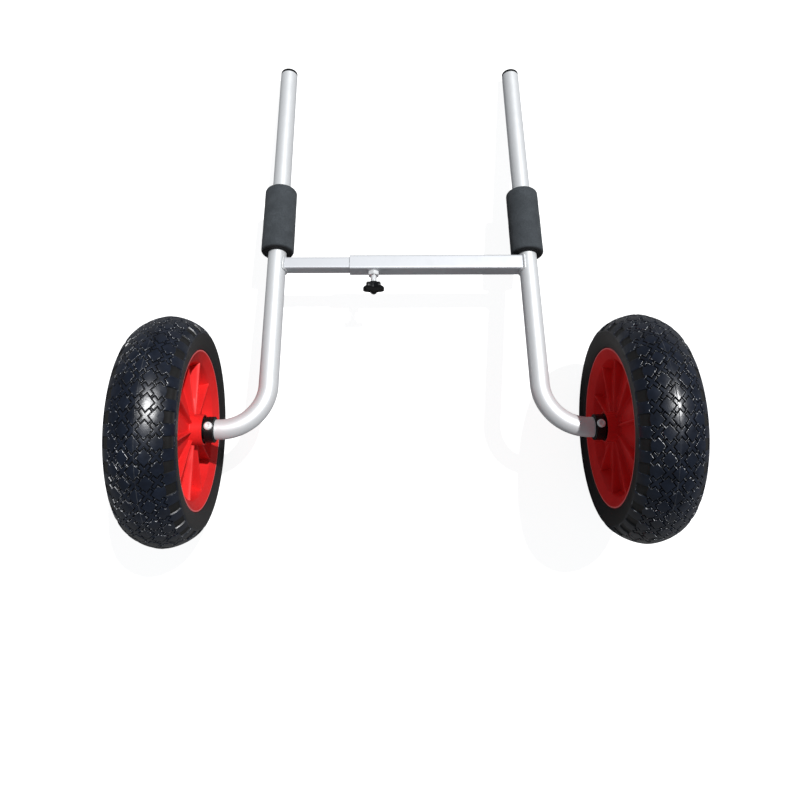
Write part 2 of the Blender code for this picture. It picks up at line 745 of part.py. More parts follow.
def make_clamp_pad(name, parent):
    tip = INNER_BAR_PLAY + OUTER_BAR_WALL - GAP
    stud = PAD_STUD_DIAMETER / 2
    profile = [(-tip, 0), (-tip, PAD_DIAMETER / 2), (PAD_LENGTH - tip, PAD_DIAMETER / 2),
               (PAD_LENGTH - tip, stud), (PAD_LENGTH - tip + PAD_STUD_LENGTH, stud),
               (PAD_LENGTH - tip + PAD_STUD_LENGTH, 0)]
    bm = lathe(profile, FASTENER_SIDES, looped=False)
    return make_object(name, bm, black_plastic, parent)


def make_clamp_screw(name, parent):
    tip = INNER_BAR_PLAY + OUTER_BAR_WALL - GAP
    start = PAD_LENGTH - tip + GAP
    radius = CLAMP_SCREW_DIAMETER / 2
    socket = PAD_STUD_DIAMETER / 2 + HOLE_PLAY
    end = GAP + CLAMP_NUT_HEIGHT + CLAMP_STEM + KNOB_GRIP
    profile = [(start + PAD_STUD_LENGTH + GAP, 0), (start + PAD_STUD_LENGTH + GAP, socket),
               (start, socket), (start, radius), (end, radius), (end, 0)]
    bm = lathe(profile, FASTENER_SIDES, looped=False)
    return make_object(name, bm, steel, parent)


def make_clamp_knob(name, parent):
    sides = LOBE_STEPS * KNOB_LOBES
    start = GAP + CLAMP_NUT_HEIGHT + CLAMP_STEM
    bore = CLAMP_SCREW_DIAMETER / 2 + HOLE_PLAY
    hub = KNOB_HUB_DIAMETER / 2
    full = KNOB_DIAMETER / 2

    def ring(along, radius, depth):
        points = []
        for i in range(sides):
            angle = KNOB_TURN + math.tau * i / sides
            size = radius - depth * (0.5 - 0.5 * math.cos(math.tau * i / LOBE_STEPS))
            points.append(Vector((start + along, size * math.cos(angle),
                                  size * math.sin(angle))))
        return points

    floor = KNOB_GRIP + GAP
    depth = KNOB_LOBE_DEPTH
    rings = [
        [Vector((start + floor, 0, 0))],
        ring(floor, bore, 0),
        ring(0, bore, 0),
        ring(0, hub, 0),
        ring(KNOB_HUB_HEIGHT, hub, 0),
        ring(KNOB_HUB_HEIGHT + KNOB_EDGE, full, depth),
        ring(KNOB_HEIGHT - KNOB_EDGE, full, depth),
        ring(KNOB_HEIGHT, full - KNOB_EDGE, depth),
        [Vector((start + KNOB_HEIGHT + KNOB_DOME, 0, 0))],
    ]
    return make_object(name, loft(rings), black_plastic, parent)


def make_side(prefix, side, foam_lift, tread_turn, frame, wheel):
    make_post_tube(prefix + "_post_tube", side, frame)
    make_end_cap(prefix + "_post_end_cap", side, frame)
    make_foam_sleeve(prefix + "_foam_sleeve", side, foam_lift, frame)
    make_axle_collar(prefix + "_axle_collar", side, frame)
    make_axle(prefix + "_stub_axle", side, frame)
    make_collar_screw(prefix + "_collar_screw", side, frame)
    make_collar_nut(prefix + "_collar_lock_nut", side, frame)
    make_ring(prefix + "_hub_spacer", side, spacer_start, SPACER_LENGTH, SPACER_DIAMETER,
              black_plastic, frame)
    make_ring(prefix + "_hub_washer", side, washer_start, WASHER_THICKNESS, WASHER_DIAMETER,
              steel, frame)
    make_split_pin(prefix + "_split_pin", side, frame)
    make_rim(prefix + "_rim", side, wheel)
    make_tyre(prefix + "_tyre", side, tread_turn, wheel)
    make_bush(prefix + "_inner_bush", side, inner_flange_start, 1, wheel)
    make_bush(prefix + "_outer_bush", side, outer_flange_end, -1, wheel)


for old in list(bpy.data.objects):
    bpy.data.objects.remove(old, do_unlink=True)

aluminium = make_material("satin_aluminium", (0.78, 0.79, 0.82), 0.35, 1.0)
weld_metal = make_material("weld_metal", (0.70, 0.71, 0.74), 0.45, 1.0)
steel = make_material("zinc_plated_steel", (0.72, 0.72, 0.72), 0.3, 1.0)
foam = make_material("grey_foam", (0.055, 0.065, 0.075), 0.85)
black_plastic = make_material("black_plastic", (0.012, 0.013, 0.014), 0.45)
red_plastic = make_material("red_plastic", (0.65, 0.012, 0.012), 0.35)
rubber = make_material("black_rubber", (0.012, 0.013, 0.016), 0.5)

cart = make_empty("cart_plane", None, (0, axle_y, tyre_radius), (-slope, 0, 0))
right_frame = make_empty("right_frame", cart)
left_frame = make_empty("left_frame", cart)
right_wheel = make_empty("right_wheel", right_frame, (wheel_x, 0, 0),
                         (RIGHT_WHEEL_TURN, 0, 0))
left_wheel = make_empty("left_wheel", left_frame, (-wheel_x, 0, 0),
                        (LEFT_WHEEL_TURN, 0, 0))
make_side("right", 1, RIGHT_FOAM_LIFT, RIGHT_TREAD_TURN, right_frame, right_wheel)
make_side("left", -1, LEFT_FOAM_LIFT, LEFT_TREAD_TURN, left_frame, left_wheel)

outer_bar = make_bar("outer_crossbar", 1, outer_half, OUTER_BAR_WALL, BAR_CORNER,
                     OUTER_BAR_FREE_END, right_frame)
make_weld("right_weld_bead", 1, outer_half, BAR_CORNER, right_frame)
inner_bar = make_bar("inner_crossbar", -1, inner_half, INNER_BAR_WALL, BAR_CORNER,
                     INNER_BAR_END, left_frame)
make_weld("left_weld_bead", -1, inner_half, BAR_CORNER, left_frame)

clamp = make_empty("clamp_axis", right_frame, (CLAMP_PLACE, BAR_HEIGHT - outer_half, 0),
                   (0, 0, -math.pi / 2))
screw_hole = make_object(
    "clamp_screw_hole",
    lathe([(-2 * OUTER_BAR_WALL, 0),
           (-2 * OUTER_BAR_WALL, CLAMP_SCREW_DIAMETER / 2 + HOLE_PLAY),
           (2 * OUTER_BAR_WALL, CLAMP_SCREW_DIAMETER / 2 + HOLE_PLAY),
           (2 * OUTER_BAR_WALL, 0)], SMALL_SIDES, looped=False), None, clamp)
combine(outer_bar, screw_hole, "DIFFERENCE")
make_clamp_nut("clamp_nut", clamp)
make_clamp_pad("clamp_pad", clamp)
make_clamp_screw("clamp_screw", clamp)
make_clamp_knob("clamp_knob", clamp)
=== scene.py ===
import bisect
import json
import math
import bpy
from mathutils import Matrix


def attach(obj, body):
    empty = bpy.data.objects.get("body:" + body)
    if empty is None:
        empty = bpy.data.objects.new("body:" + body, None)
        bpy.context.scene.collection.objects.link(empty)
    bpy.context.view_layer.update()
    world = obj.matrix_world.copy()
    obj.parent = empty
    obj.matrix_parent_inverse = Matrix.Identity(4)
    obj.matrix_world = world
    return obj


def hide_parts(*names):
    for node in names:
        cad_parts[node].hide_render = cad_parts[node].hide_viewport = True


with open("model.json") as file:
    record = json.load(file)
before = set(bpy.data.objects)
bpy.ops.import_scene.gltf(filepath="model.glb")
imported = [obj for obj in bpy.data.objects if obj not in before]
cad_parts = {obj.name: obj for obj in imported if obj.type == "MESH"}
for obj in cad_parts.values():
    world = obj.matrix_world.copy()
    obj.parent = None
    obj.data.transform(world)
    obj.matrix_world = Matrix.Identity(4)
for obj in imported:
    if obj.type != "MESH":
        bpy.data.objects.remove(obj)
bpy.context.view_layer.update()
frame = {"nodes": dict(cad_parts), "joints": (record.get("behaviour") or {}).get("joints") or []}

from types import SimpleNamespace

import bmesh
import bpy
from mathutils import Matrix, Vector, noise

print("frame loaded:", len(frame["nodes"]), "nodes")

# The cart has its own axes: X across, S along the posts, N square to the plane of both posts
jointNamed = {joint["name"]: joint for joint in frame["joints"]}
wheelCentre = Vector(jointNamed["right_wheel_spin"]["pos_m"])
alongPosts = -Vector(jointNamed["clamp_travel"]["axis"]).normalized()
upright = Vector((1, 0, 0)).cross(alongPosts)
cartMatrix = Matrix(((1, alongPosts.x, upright.x, 0),
                     (0, alongPosts.y, upright.y, wheelCentre.y),
                     (0, alongPosts.z, upright.z, wheelCentre.z),
                     (0, 0, 0, 1)))
bothSides = (("right", 1), ("left", -1))
touchGap = 0.0003          # air between pieces that touch
fineRound = 0.0003         # roundness of small edges, from the sharpest
smallRound = 0.0004
softRound = 0.0005
slotNames = {"postAluminium": "satin_aluminium", "barAluminium": "satin_aluminium"}


# Shapes: a profile holds (along, radius) points, and its corners (along, radius, roundness)
def roundedProfile(corners, closed=True, steps=5):
    profile = []
    count = len(corners)
    for i, (along, radius, size) in enumerate(corners):
        here = Vector((along, radius))
        if size == 0 or (not closed and i in (0, count - 1)):
            profile.append((along, radius))
            continue
        before = Vector(corners[i - 1][:2]) - here
        after = Vector(corners[(i + 1) % count][:2]) - here
        reach = size / math.tan(before.angle(after) / 2)
        start = here + before.normalized() * min(reach, 0.49 * before.length)
        end = here + after.normalized() * min(reach, 0.49 * after.length)
        for k in range(steps + 1):
            t = k / steps
            profile.append(tuple(start.lerp(here, t).lerp(here.lerp(end, t), t)))
    return profile


# Points on an arc, from one angle to another in degrees
def arc(centre, radius, start, end, steps):
    angles = [math.radians(start + (end - start) * k / steps) for k in range(steps + 1)]
    return [(centre[0] + radius * math.cos(a), centre[1] + radius * math.sin(a)) for a in angles]


# Rings of points around the X axis, one for each point of the profile
def turnedRings(profile, sides, shape=None):
    rings = []
    for along, radius in profile:
        if radius < 1e-6:
            rings.append([Vector((along, 0, 0))])
            continue
        ring = []
        for i in range(sides):
            angle = math.tau * i / sides
            size = shape(along, radius, angle) if shape else radius
            ring.append(Vector((along, size * math.cos(angle), size * math.sin(angle))))
        rings.append(ring)
    return rings


# Skins rings of equal length; a ring of one point closes an end, and a looped row meets itself
def skin(rings, looped=True):
    bm = bmesh.new()
    uvLayer = bm.loops.layers.uv.new("along")
    rows = [[bm.verts.new(point) for point in ring] for ring in rings]
    travelled = [0.0]
    for first, second in zip(rings, rings[1:]):
        travelled.append(travelled[-1] + (second[0] - first[0]).length)
    longest = max(rings, key=len)
    girth = [0.0]
    for i, point in enumerate(longest):
        girth.append(girth[-1] + (longest[(i + 1) % len(longest)] - point).length)
    for a in range(len(rows) if looped else len(rows) - 1):
        b = (a + 1) % len(rows)
        first, second = rows[a], rows[b]
        count = max(len(first), len(second))
        for i in range(count):
            j = (i + 1) % count
            corners = [first[i % len(first)], first[j % len(first)],
                       second[j % len(second)], second[i % len(second)]]
            places = [(girth[i], travelled[a]), (girth[i + 1], travelled[a]),
                      (girth[i + 1], travelled[b]), (girth[i], travelled[b])]
            kept = [k for k in range(4) if corners[k] not in corners[:k]]
            face = bm.faces.new([corners[k] for k in kept])
            for loop, k in zip(face.loops, kept):
                loop[uvLayer].uv = places[k]
    if not looped:
        for row in (rows[0], rows[-1]):
            if len(row) > 1:
                bm.faces.new(row)
    return bm


def turnedShape(corners, sides, closed=True, steps=5):
    return skin(turnedRings(roundedProfile(corners, closed, steps), sides), closed)


# Puts a mesh in the scene as an object
def addObject(name, bm):
    mesh = bpy.data.meshes.new(name)
    bm.to_mesh(mesh)
    bm.free()
    thing = bpy.data.objects.new(name, mesh)
    bpy.context.scene.collection.objects.link(thing)
    return thing


# rightPostTube becomes right_post_tube
def snakeCase(name):
    return "".join("_" + letter.lower() if letter.isupper() else letter for letter in name)


# Hangs a mesh on its body, in place of the CAD node of the same name
def addPiece(name, bm, place, material, body, sharpAngle=32):
    bmesh.ops.recalc_face_normals(bm, faces=bm.faces)
    bm.transform(place)
    piece = addObject(name, bm)
    if place.to_3x3().determinant() < 0:
        piece.data.flip_normals()
    piece.data.shade_smooth()
    piece.data.set_sharp_from_angle(angle=math.radians(sharpAngle))
    piece.data.materials.append(material)
    node = snakeCase(name)
    finish = slotNames.get(material.name, snakeCase(material.name))
    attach(piece, body)
    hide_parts(node)
    return piece


# Cuts a round hole through a piece, from one place to another
def drillHole(piece, start, end, radius):
    start, end = cartMatrix @ Vector(start), cartMatrix @ Vector(end)
    length = (end - start).length
    bm = skin(turnedRings([(0, 0), (0, radius), (length, radius), (length, 0)], 40), looped=False)
    bmesh.ops.recalc_face_normals(bm, faces=bm.faces)
    turn = Vector((1, 0, 0)).rotation_difference(end - start).to_matrix().to_4x4()
    bm.transform(Matrix.Translation(start) @ turn)
    drill = addObject("drill", bm)
    cut = piece.modifiers.new("hole", "BOOLEAN")
    cut.object = drill
    cut.solver = "EXACT"
    bpy.context.view_layer.update()
    drilled = piece.evaluated_get(bpy.context.evaluated_depsgraph_get())
    cutMesh = bpy.data.meshes.new_from_object(drilled)
    piece.modifiers.clear()
    piece.data = cutMesh
    cutMesh.set_sharp_from_angle(angle=math.radians(32))
    bpy.data.objects.remove(drill, do_unlink=True)


# Shader nodes: a socket takes another node's output, or a plain number, vector or colour
def feed(tree, socket, value):
    if isinstance(value, bpy.types.NodeSocket):
        tree.links.new(value, socket)
    elif value is not None:
        socket.default_value = (*value, 1.0) if socket.type == "RGBA" else value


def addNode(tree, kind, feeds=None, **settings):
    node = tree.nodes.new(kind)
    for key, value in settings.items():
        setattr(node, key, value)
    for key, value in (feeds or {}).items():
        feed(tree, node.inputs[key], value)
    return node


def addMath(tree, operation, *values):
    return addNode(tree, "ShaderNodeMath", dict(enumerate(values)), operation=operation).outputs[0]


def addNoise(tree, vector, scale, detail, roughness=0.5):
    feeds = {"Vector": vector, "Scale": scale, "Detail": detail, "Roughness": roughness}
    return addNode(tree, "ShaderNodeTexNoise", feeds).outputs["Fac"]


def addRange(tree, value, fromLow, fromHigh, toLow=0.0, toHigh=1.0):
    feeds = {"Value": value, "From Min": fromLow, "From Max": fromHigh, "To Min": toLow,
             "To Max": toHigh}
    return addNode(tree, "ShaderNodeMapRange", feeds, clamp=True).outputs["Result"]


def mixColours(tree, mask, first, second):
    return addNode(tree, "ShaderNodeMix", {0: mask, 6: first, 7: second}, data_type="RGBA").outputs[2]


def addBump(tree, height, distance, strength=0.5, below=None):
    feeds = {"Height": height, "Distance": distance, "Strength": strength, "Normal": below}
    return addNode(tree, "ShaderNodeBump", feeds).outputs["Normal"]


# Stands the nodes in columns, each one to the left of all that it feeds
def arrangeNodes(tree, columnWidth=240, rowHeight=280):
    column = {node.name: 0 for node in tree.nodes}
    for _ in tree.nodes:
        for link in tree.links:
            start, end = link.from_node.name, link.to_node.name
            column[start] = max(column[start], column[end] + 1)
    filled = {}
    for node in tree.nodes:
        row = filled.get(column[node.name], 0)
        filled[column[node.name]] = row + 1
        node.location = (-columnWidth * column[node.name], -rowHeight * row)


# A node group that takes a Vector and some numbers, and puts out masks or heights
def startGroup(name, numbers, outputs):
    group = bpy.data.node_groups.new(name, "ShaderNodeTree")
    group.interface.new_socket("Vector", in_out="INPUT", socket_type="NodeSocketVector")
    for socketName, usual in numbers.items():
        socket = group.interface.new_socket(socketName, in_out="INPUT", socket_type="NodeSocketFloat")
        socket.default_value = usual
    for socketName in outputs:
        group.interface.new_socket(socketName, in_out="OUTPUT", socket_type="NodeSocketFloat")
    return group, group.nodes.new("NodeGroupInput").outputs, group.nodes.new("NodeGroupOutput").inputs


def finishGroup(group, end, results):
    for name, value in results.items():
        feed(group, end[name], value)
    arrangeNodes(group)
    return group


# Moulded grain: a fine height for the bump and a slow tone for colour and gloss. A pattern
# holds noises as (scale, detail, roughness), without the scale where the group takes it.
grainPattern = {"fine": (3.0, 0.6), "slow": (4.0, 0.55), "toneRange": (0.3, 0.7)}


def makeGrainGroup():
    group, start, end = startGroup("mouldedGrain", {"Grain Scale": 900.0, "Cloud Scale": 30.0},
                                   ("Height", "Tone"))
    fine = addNoise(group, start["Vector"], start["Grain Scale"], *grainPattern["fine"])
    slow = addNoise(group, start["Vector"], start["Cloud Scale"], *grainPattern["slow"])
    tone = addRange(group, slow, *grainPattern["toneRange"])
    return finishGroup(group, end, {"Height": fine, "Tone": tone})


# Drawn metal: long faint lines that follow the tube, from its own UV map in metres
drawnPattern = {"lines": (3.0, 0.65), "smears": (45.0, 4.0, 0.6), "toneRange": (0.35, 0.7)}


def makeDrawnGroup():
    group, start, end = startGroup("drawnMetal", {"Line Scale": 2600.0, "Stretch": 0.02},
                                   ("Height", "Tone"))
    split = addNode(group, "ShaderNodeSeparateXYZ", {0: start["Vector"]}).outputs
    along = addMath(group, "MULTIPLY", split["Y"], start["Stretch"])
    drawn = addNode(group, "ShaderNodeCombineXYZ", {"X": split["X"], "Y": along}).outputs[0]
    lines = addNoise(group, drawn, start["Line Scale"], *drawnPattern["lines"])
    smears = addNoise(group, start["Vector"], *drawnPattern["smears"])
    tone = addRange(group, smears, *drawnPattern["toneRange"])
    return finishGroup(group, end, {"Height": lines, "Tone": tone})


# Rubbed edges, and painted glints along edges: a broken mask along the outer edges of a piece
wearAndGlintPattern = {"breaks": (160.0, 5.0, 0.65), "breakRange": (0.42, 0.62)}


def makeEdgeGroup():
    group, start, end = startGroup("rubbedEdge", {"Start": 0.52, "Full": 0.62, "Amount": 0.5},
                                   ("Mask",))
    pointiness = addNode(group, "ShaderNodeNewGeometry").outputs["Pointiness"]
    edge = addRange(group, pointiness, start["Start"], start["Full"])
    breaks = addNoise(group, start["Vector"], *wearAndGlintPattern["breaks"])
    mask = addMath(group, "MULTIPLY", edge, addRange(group, breaks, *wearAndGlintPattern["breakRange"]))
    return finishGroup(group, end, {"Mask": addMath(group, "MULTIPLY", mask, start["Amount"])})


# Settled dust: soft patches with specks, thicker where the hollow input is high
dustPattern = {"patches": (6.0, 0.62), "patchRange": (0.45, 0.75), "specks": (700.0, 2.0),
               "speckRange": (0.55, 0.75, 0.0, 0.6), "openShare": 0.35}


def makeDustGroup():
    group, start, end = startGroup("settledDust", {"Patch Scale": 25.0, "Hollow": 0.0, "Amount": 0.3},
                                   ("Mask",))
    patches = addNoise(group, start["Vector"], start["Patch Scale"], *dustPattern["patches"])
    specks = addNoise(group, start["Vector"], *dustPattern["specks"])
    both = addMath(group, "ADD", addRange(group, patches, *dustPattern["patchRange"]),
                   addRange(group, specks, *dustPattern["speckRange"]))
    share = addMath(group, "ADD", start["Hollow"], dustPattern["openShare"])
    lifted = addMath(group, "MULTIPLY_ADD", both, share, 0.0)
    scaled = addMath(group, "MULTIPLY", lifted, start["Amount"])
    mask = addNode(group, "ShaderNodeClamp", {"Value": scaled}).outputs[0]
    return finishGroup(group, end, {"Mask": mask})


# Painted glints: short pale flecks along the edges of sunk places, from a depth between 0 and 1
glintPattern = {"rise": (0.01, 0.04), "fall": (0.07, 0.15, 1.0, 0.0), "spotDetail": 2.0,
                "spotRange": (0.56, 0.61), "gathering": (28.0, 2.0),
                "gatherRange": (0.42, 0.60, 0.15, 1.0)}


def makeGlintGroup():
    group, start, end = startGroup("edgeFlecks", {"Depth": 0.0, "Fleck Scale": 330.0, "Amount": 1.0},
                                   ("Mask",))
    rising, falling = (addRange(group, start["Depth"], *glintPattern[key]) for key in ("rise", "fall"))
    spots = addNoise(group, start["Vector"], start["Fleck Scale"], glintPattern["spotDetail"])
    gathering = addNoise(group, start["Vector"], *glintPattern["gathering"])
    mask = addMath(group, "MULTIPLY", addMath(group, "MULTIPLY", rising, falling),
                   addMath(group, "MULTIPLY", addRange(group, spots, *glintPattern["spotRange"]),
                           addRange(group, gathering, *glintPattern["gatherRange"])))
    return finishGroup(group, end, {"Mask": addMath(group, "MULTIPLY", mask, start["Amount"])})


mouldedGrain = makeGrainGroup()
drawnMetal = makeDrawnGroup()
rubbedEdge = makeEdgeGroup()
settledDust = makeDustGroup()
edgeFlecks = makeGlintGroup()
print("node groups made")


# Materials: a look holds values for the shader's own sockets and for the node groups, and the
# colours: a second one for the grain, others for rubbed edges and painted edge glints, and dust, where
# it has them
def startMaterial(name, look, drawn=False):
    material = bpy.data.materials.new(name)
    material.use_nodes = True
    tree = material.node_tree
    shader = tree.nodes["Principled BSDF"]
    for key, value in look["shader"].items():
        shader.inputs[key].default_value = value
    vector = addNode(tree, "ShaderNodeTexCoord").outputs["Object"]
    if drawn:
        alongTube = addNode(tree, "ShaderNodeUVMap", uv_map="along").outputs["UV"]
        grain = useGroup(tree, drawnMetal, alongTube, look["grain"])
    else:
        grain = useGroup(tree, mouldedGrain, vector, look["grain"])
    colour = look["colour"]
    if "second" in look:
        colour = mixColours(tree, grain["Tone"], colour, look["second"])
    for key, group in (("wear", rubbedEdge), ("dust", settledDust)):
        if key in look:
            mask = useGroup(tree, group, vector, look[key])["Mask"]
            colour = mixColours(tree, mask, colour, look[key + "Colour"])
    return SimpleNamespace(material=material, tree=tree, shader=shader, look=look, vector=vector,
                           grain=grain, colour=colour)


def useGroup(tree, group, vector, values):
    return addNode(tree, "ShaderNodeGroup", {"Vector": vector, **values}, node_tree=group).outputs


# The gloss follows the grain's tone, and the bump its height
def addGloss(stuff):
    return addRange(stuff.tree, stuff.grain["Tone"], 0.0, 1.0, *stuff.look["rough"])


def addRelief(stuff, strength=0.5):
    return addBump(stuff.tree, stuff.grain["Height"], stuff.look["relief"], strength)


def finishMaterial(stuff, colour=None, roughness=None, normal=None):
    ends = {"Base Color": stuff.colour if colour is None else colour,
            "Roughness": addGloss(stuff) if roughness is None else roughness,
            "Normal": addRelief(stuff) if normal is None else normal}
    for name, value in ends.items():
        feed(stuff.tree, stuff.shader.inputs[name], value)
    arrangeNodes(stuff.tree)
    return stuff.material


aluminiumLook = {"shader": {"Metallic": 0.42}, "relief": 0.00006,
                 "grain": {"Line Scale": 2400.0, "Stretch": 0.015},
                 "dust": {"Patch Scale": 40.0, "Amount": 0.16}}
postLook = {"colour": (0.80, 0.815, 0.83), "second": (0.75, 0.765, 0.78),
            "dustColour": (0.64, 0.65, 0.66), "rough": (0.42, 0.54)}
# The bar's aluminium is a darker copy of the posts', painted shade so that its sunlit top does not
# burn out and its front face stays dark
shadedBarLook = {"colour": (0.62, 0.635, 0.665), "second": (0.58, 0.595, 0.62),
           "dustColour": (0.50, 0.51, 0.53), "rough": (0.46, 0.58)}


def makeSatinAluminium(name, look):
    return finishMaterial(startMaterial(name, {**aluminiumLook, **look}, drawn=True))


weldLook = {"colour": (0.70, 0.715, 0.73), "second": (0.52, 0.53, 0.54), "rough": (0.42, 0.60),
            "shader": {"Metallic": 0.5}, "relief": 0.0002,
            "grain": {"Grain Scale": 1500.0, "Cloud Scale": 220.0}}


def makeWeldMetal():
    return finishMaterial(startMaterial("weldMetal", weldLook))


steelLook = {"colour": (0.91, 0.92, 0.93), "second": (0.74, 0.75, 0.76),
             "wearColour": (0.92, 0.92, 0.90), "rough": (0.24, 0.38), "shader": {"Metallic": 0.3},
             "relief": 0.00005, "grain": {"Grain Scale": 2200.0, "Cloud Scale": 260.0},
             "wear": {"Amount": 0.8}}


def makePlatedSteel():
    return finishMaterial(startMaterial("platedSteel", steelLook))


foamLook = {"colour": (0.033, 0.040, 0.047), "second": (0.058, 0.067, 0.076),
            "pit": (0.011, 0.014, 0.017), "shadedEnd": (0.003, 0.004, 0.006), "shadedEndFacing": (0.35, 0.85),
            "rough": (0.80, 0.95), "shader": {"Sheen Weight": 0.03, "Sheen Roughness": 0.5},
            "relief": 0.0003, "grain": {"Grain Scale": 1300.0, "Cloud Scale": 60.0},
            "cells": 1100.0, "pitRange": (0.1, 0.55), "pitDepth": 0.0005, "lumpBump": 0.6}


# Pores all over, and painted shade on the end faces where the sleeve was cut to length
def makeGreyFoam():
    foam = startMaterial("greyFoam", foamLook)
    tree = foam.tree
    cells = addNode(tree, "ShaderNodeTexVoronoi", {"Vector": foam.vector, "Scale": foamLook["cells"]},
                    feature="F1")
    # Painted shade in the pores: the pits are darkened as well as sunk by the bump
    pits = addRange(tree, cells.outputs["Distance"], *foamLook["pitRange"])
    pitShaded = mixColours(tree, pits, foamLook["pit"], foam.colour)
    normal = addNode(tree, "ShaderNodeTexCoord").outputs["Normal"]
    facing = addNode(tree, "ShaderNodeVectorMath", {0: normal, 1: alongPosts}, operation="DOT_PRODUCT")
    # Painted shade: faces that face along the post are darkened
    shadedEnd = addRange(tree, addMath(tree, "ABSOLUTE", facing.outputs["Value"]), *foamLook["shadedEndFacing"])
    lumps = addRelief(foam, foamLook["lumpBump"])
    return finishMaterial(foam, mixColours(tree, shadedEnd, pitShaded, foamLook["shadedEnd"]),
                          normal=addBump(tree, pits, foamLook["pitDepth"], below=lumps))


plasticLook = {"colour": (0.004, 0.0045, 0.005), "wearColour": (0.03, 0.03, 0.03),
               "dustColour": (0.05, 0.048, 0.045), "rough": (0.34, 0.50),
               "shader": {"Specular IOR Level": 0.35}, "relief": 0.00012,
               "grain": {"Grain Scale": 1800.0, "Cloud Scale": 90.0}, "wear": {"Amount": 0.45},
               "dust": {"Patch Scale": 60.0, "Amount": 0.20}}


def makeBlackPlastic():
    return finishMaterial(startMaterial("blackPlastic", plasticLook))


# The red's pale edges are painted highlights along the rib and lip edges, with some real wear
redLook = {"colour": (0.73, 0.021, 0.020), "second": (0.60, 0.013, 0.014),
           "wearColour": (0.82, 0.11, 0.10), "dustColour": (0.56, 0.14, 0.13),
           "lip": (0.82, 0.15, 0.15), "lipStart": 0.0966, "lipBlend": 0.0004, "rough": (0.38, 0.52),
           "shader": {"Specular IOR Level": 0.12, "Subsurface Weight": 0.06,
                      "Subsurface Radius": (0.004, 0.0008, 0.0006)},
           "relief": 0.00010, "grain": {"Grain Scale": 1400.0, "Cloud Scale": 22.0},
           "wear": {"Start": 0.53, "Full": 0.62, "Amount": 0.8},
           "dust": {"Patch Scale": 35.0, "Amount": 0.03}}


# Red with a painted highlight all round the lip, which is found by its distance from the axle
def makeRedPlastic():
    red = startMaterial("redPlastic", redLook)
    tree = red.tree
    aside = addNode(tree, "ShaderNodeVectorMath", {0: red.vector, 1: (0.0, 1.0, 1.0)},
                    operation="MULTIPLY").outputs["Vector"]
    centre = (0.0, wheelCentre.y, wheelCentre.z)
    offAxle = addNode(tree, "ShaderNodeVectorMath", {0: aside, 1: centre},
                      operation="DISTANCE").outputs["Value"]
    lipStart = redLook["lipStart"]
    # Painted highlight: paler red from the lip's inner edge outward
    lip = addRange(tree, offAxle, lipStart, lipStart + redLook["lipBlend"])
    return finishMaterial(red, mixColours(tree, lip, red.colour, redLook["lip"]))


# The rubber's paler edges are painted glints along the cross outlines, with some real wear
rubberLook = {"colour": (0.0010, 0.0028, 0.0085), "second": (0.0040, 0.0085, 0.0210),
              "wearColour": (0.020, 0.024, 0.030), "side": (0.0045, 0.0040, 0.0045),
              "groove": (0.0006, 0.0006, 0.0007), "grooveShadeRange": (0.25, 0.6),
              "fleck": (0.72, 0.74, 0.77), "dusty": (0.08, 0.075, 0.068), "rough": (0.27, 0.36),
              "sideRough": 0.50, "shader": {"Specular IOR Level": 0.8}, "relief": 0.00014,
              "seam": (0.085, 0.090, 0.098), "seamHalf": 0.00045, "seamAside": 0.0015,
              "seamHeight": 0.0003, "seamBump": 0.9,
              "grain": {"Grain Scale": 1100.0, "Cloud Scale": 70.0},
              "wear": {"Start": 0.53, "Full": 0.66, "Amount": 0.35},
              "sideDust": {"Patch Scale": 45.0, "Amount": 0.05},
              "flecks": {"Fleck Scale": 330.0, "Amount": 1.0}}


# Blue-black tread with painted shade in the grooves, pale flecks that are painted glints, a dull side
# wall and a fine moulding seam with a painted glint along it.
# The tyre's mesh says where the grooves and the side wall are.
def makeTyreRubber():
    look = rubberLook
    rubber = startMaterial("tyreRubber", look)
    tree, vector = rubber.tree, rubber.vector
    depth, sideWall = (addNode(tree, "ShaderNodeAttribute", attribute_name=name).outputs["Fac"]
                       for name in ("grooveDepth", "sideWall"))
    sided = mixColours(tree, sideWall, rubber.colour, look["side"])
    dust = useGroup(tree, settledDust, vector, look["sideDust"])
    dusted = mixColours(tree, dust["Mask"], sided, look["dusty"])
    x = addNode(tree, "ShaderNodeSeparateXYZ", {0: vector}).outputs["X"]
    seamX = wheelCentre.x - look["seamAside"]
    offSeam = addMath(tree, "SUBTRACT", addMath(tree, "ABSOLUTE", x), seamX)
    seam = addRange(tree, addMath(tree, "ABSOLUTE", offSeam), 0.0, look["seamHalf"], 1.0, 0.0)
    brokenSeam = addMath(tree, "MULTIPLY", seam, rubber.grain["Tone"])
    # The moulding seam is real; its paler colour is a painted glint along it
    seamGlinted = mixColours(tree, brokenSeam, dusted, look["seam"])
    # Painted glints: pale flecks along the block edges
    flecks = useGroup(tree, edgeFlecks, vector, {"Depth": depth, **look["flecks"]})
    glinted = mixColours(tree, flecks["Mask"], seamGlinted, look["fleck"])
    # Painted shade in the moats: the deeper grooves are darkened and dulled
    groove = addRange(tree, depth, *look["grooveShadeRange"])
    dull = addMath(tree, "MAXIMUM", groove, sideWall)
    return finishMaterial(rubber, mixColours(tree, groove, glinted, look["groove"]),
                          addRange(tree, dull, 0.0, 1.0, addGloss(rubber), look["sideRough"]),
                          addBump(tree, seam, look["seamHeight"], look["seamBump"], addRelief(rubber)))


postAluminium = makeSatinAluminium("postAluminium", postLook)
barAluminium = makeSatinAluminium("barAluminium", shadedBarLook)
weldMetal = makeWeldMetal()
platedSteel = makePlatedSteel()
greyFoam = makeGreyFoam()
blackPlastic = makeBlackPlastic()
redPlastic = makeRedPlastic()
tyreRubber = makeTyreRubber()
print("materials made")


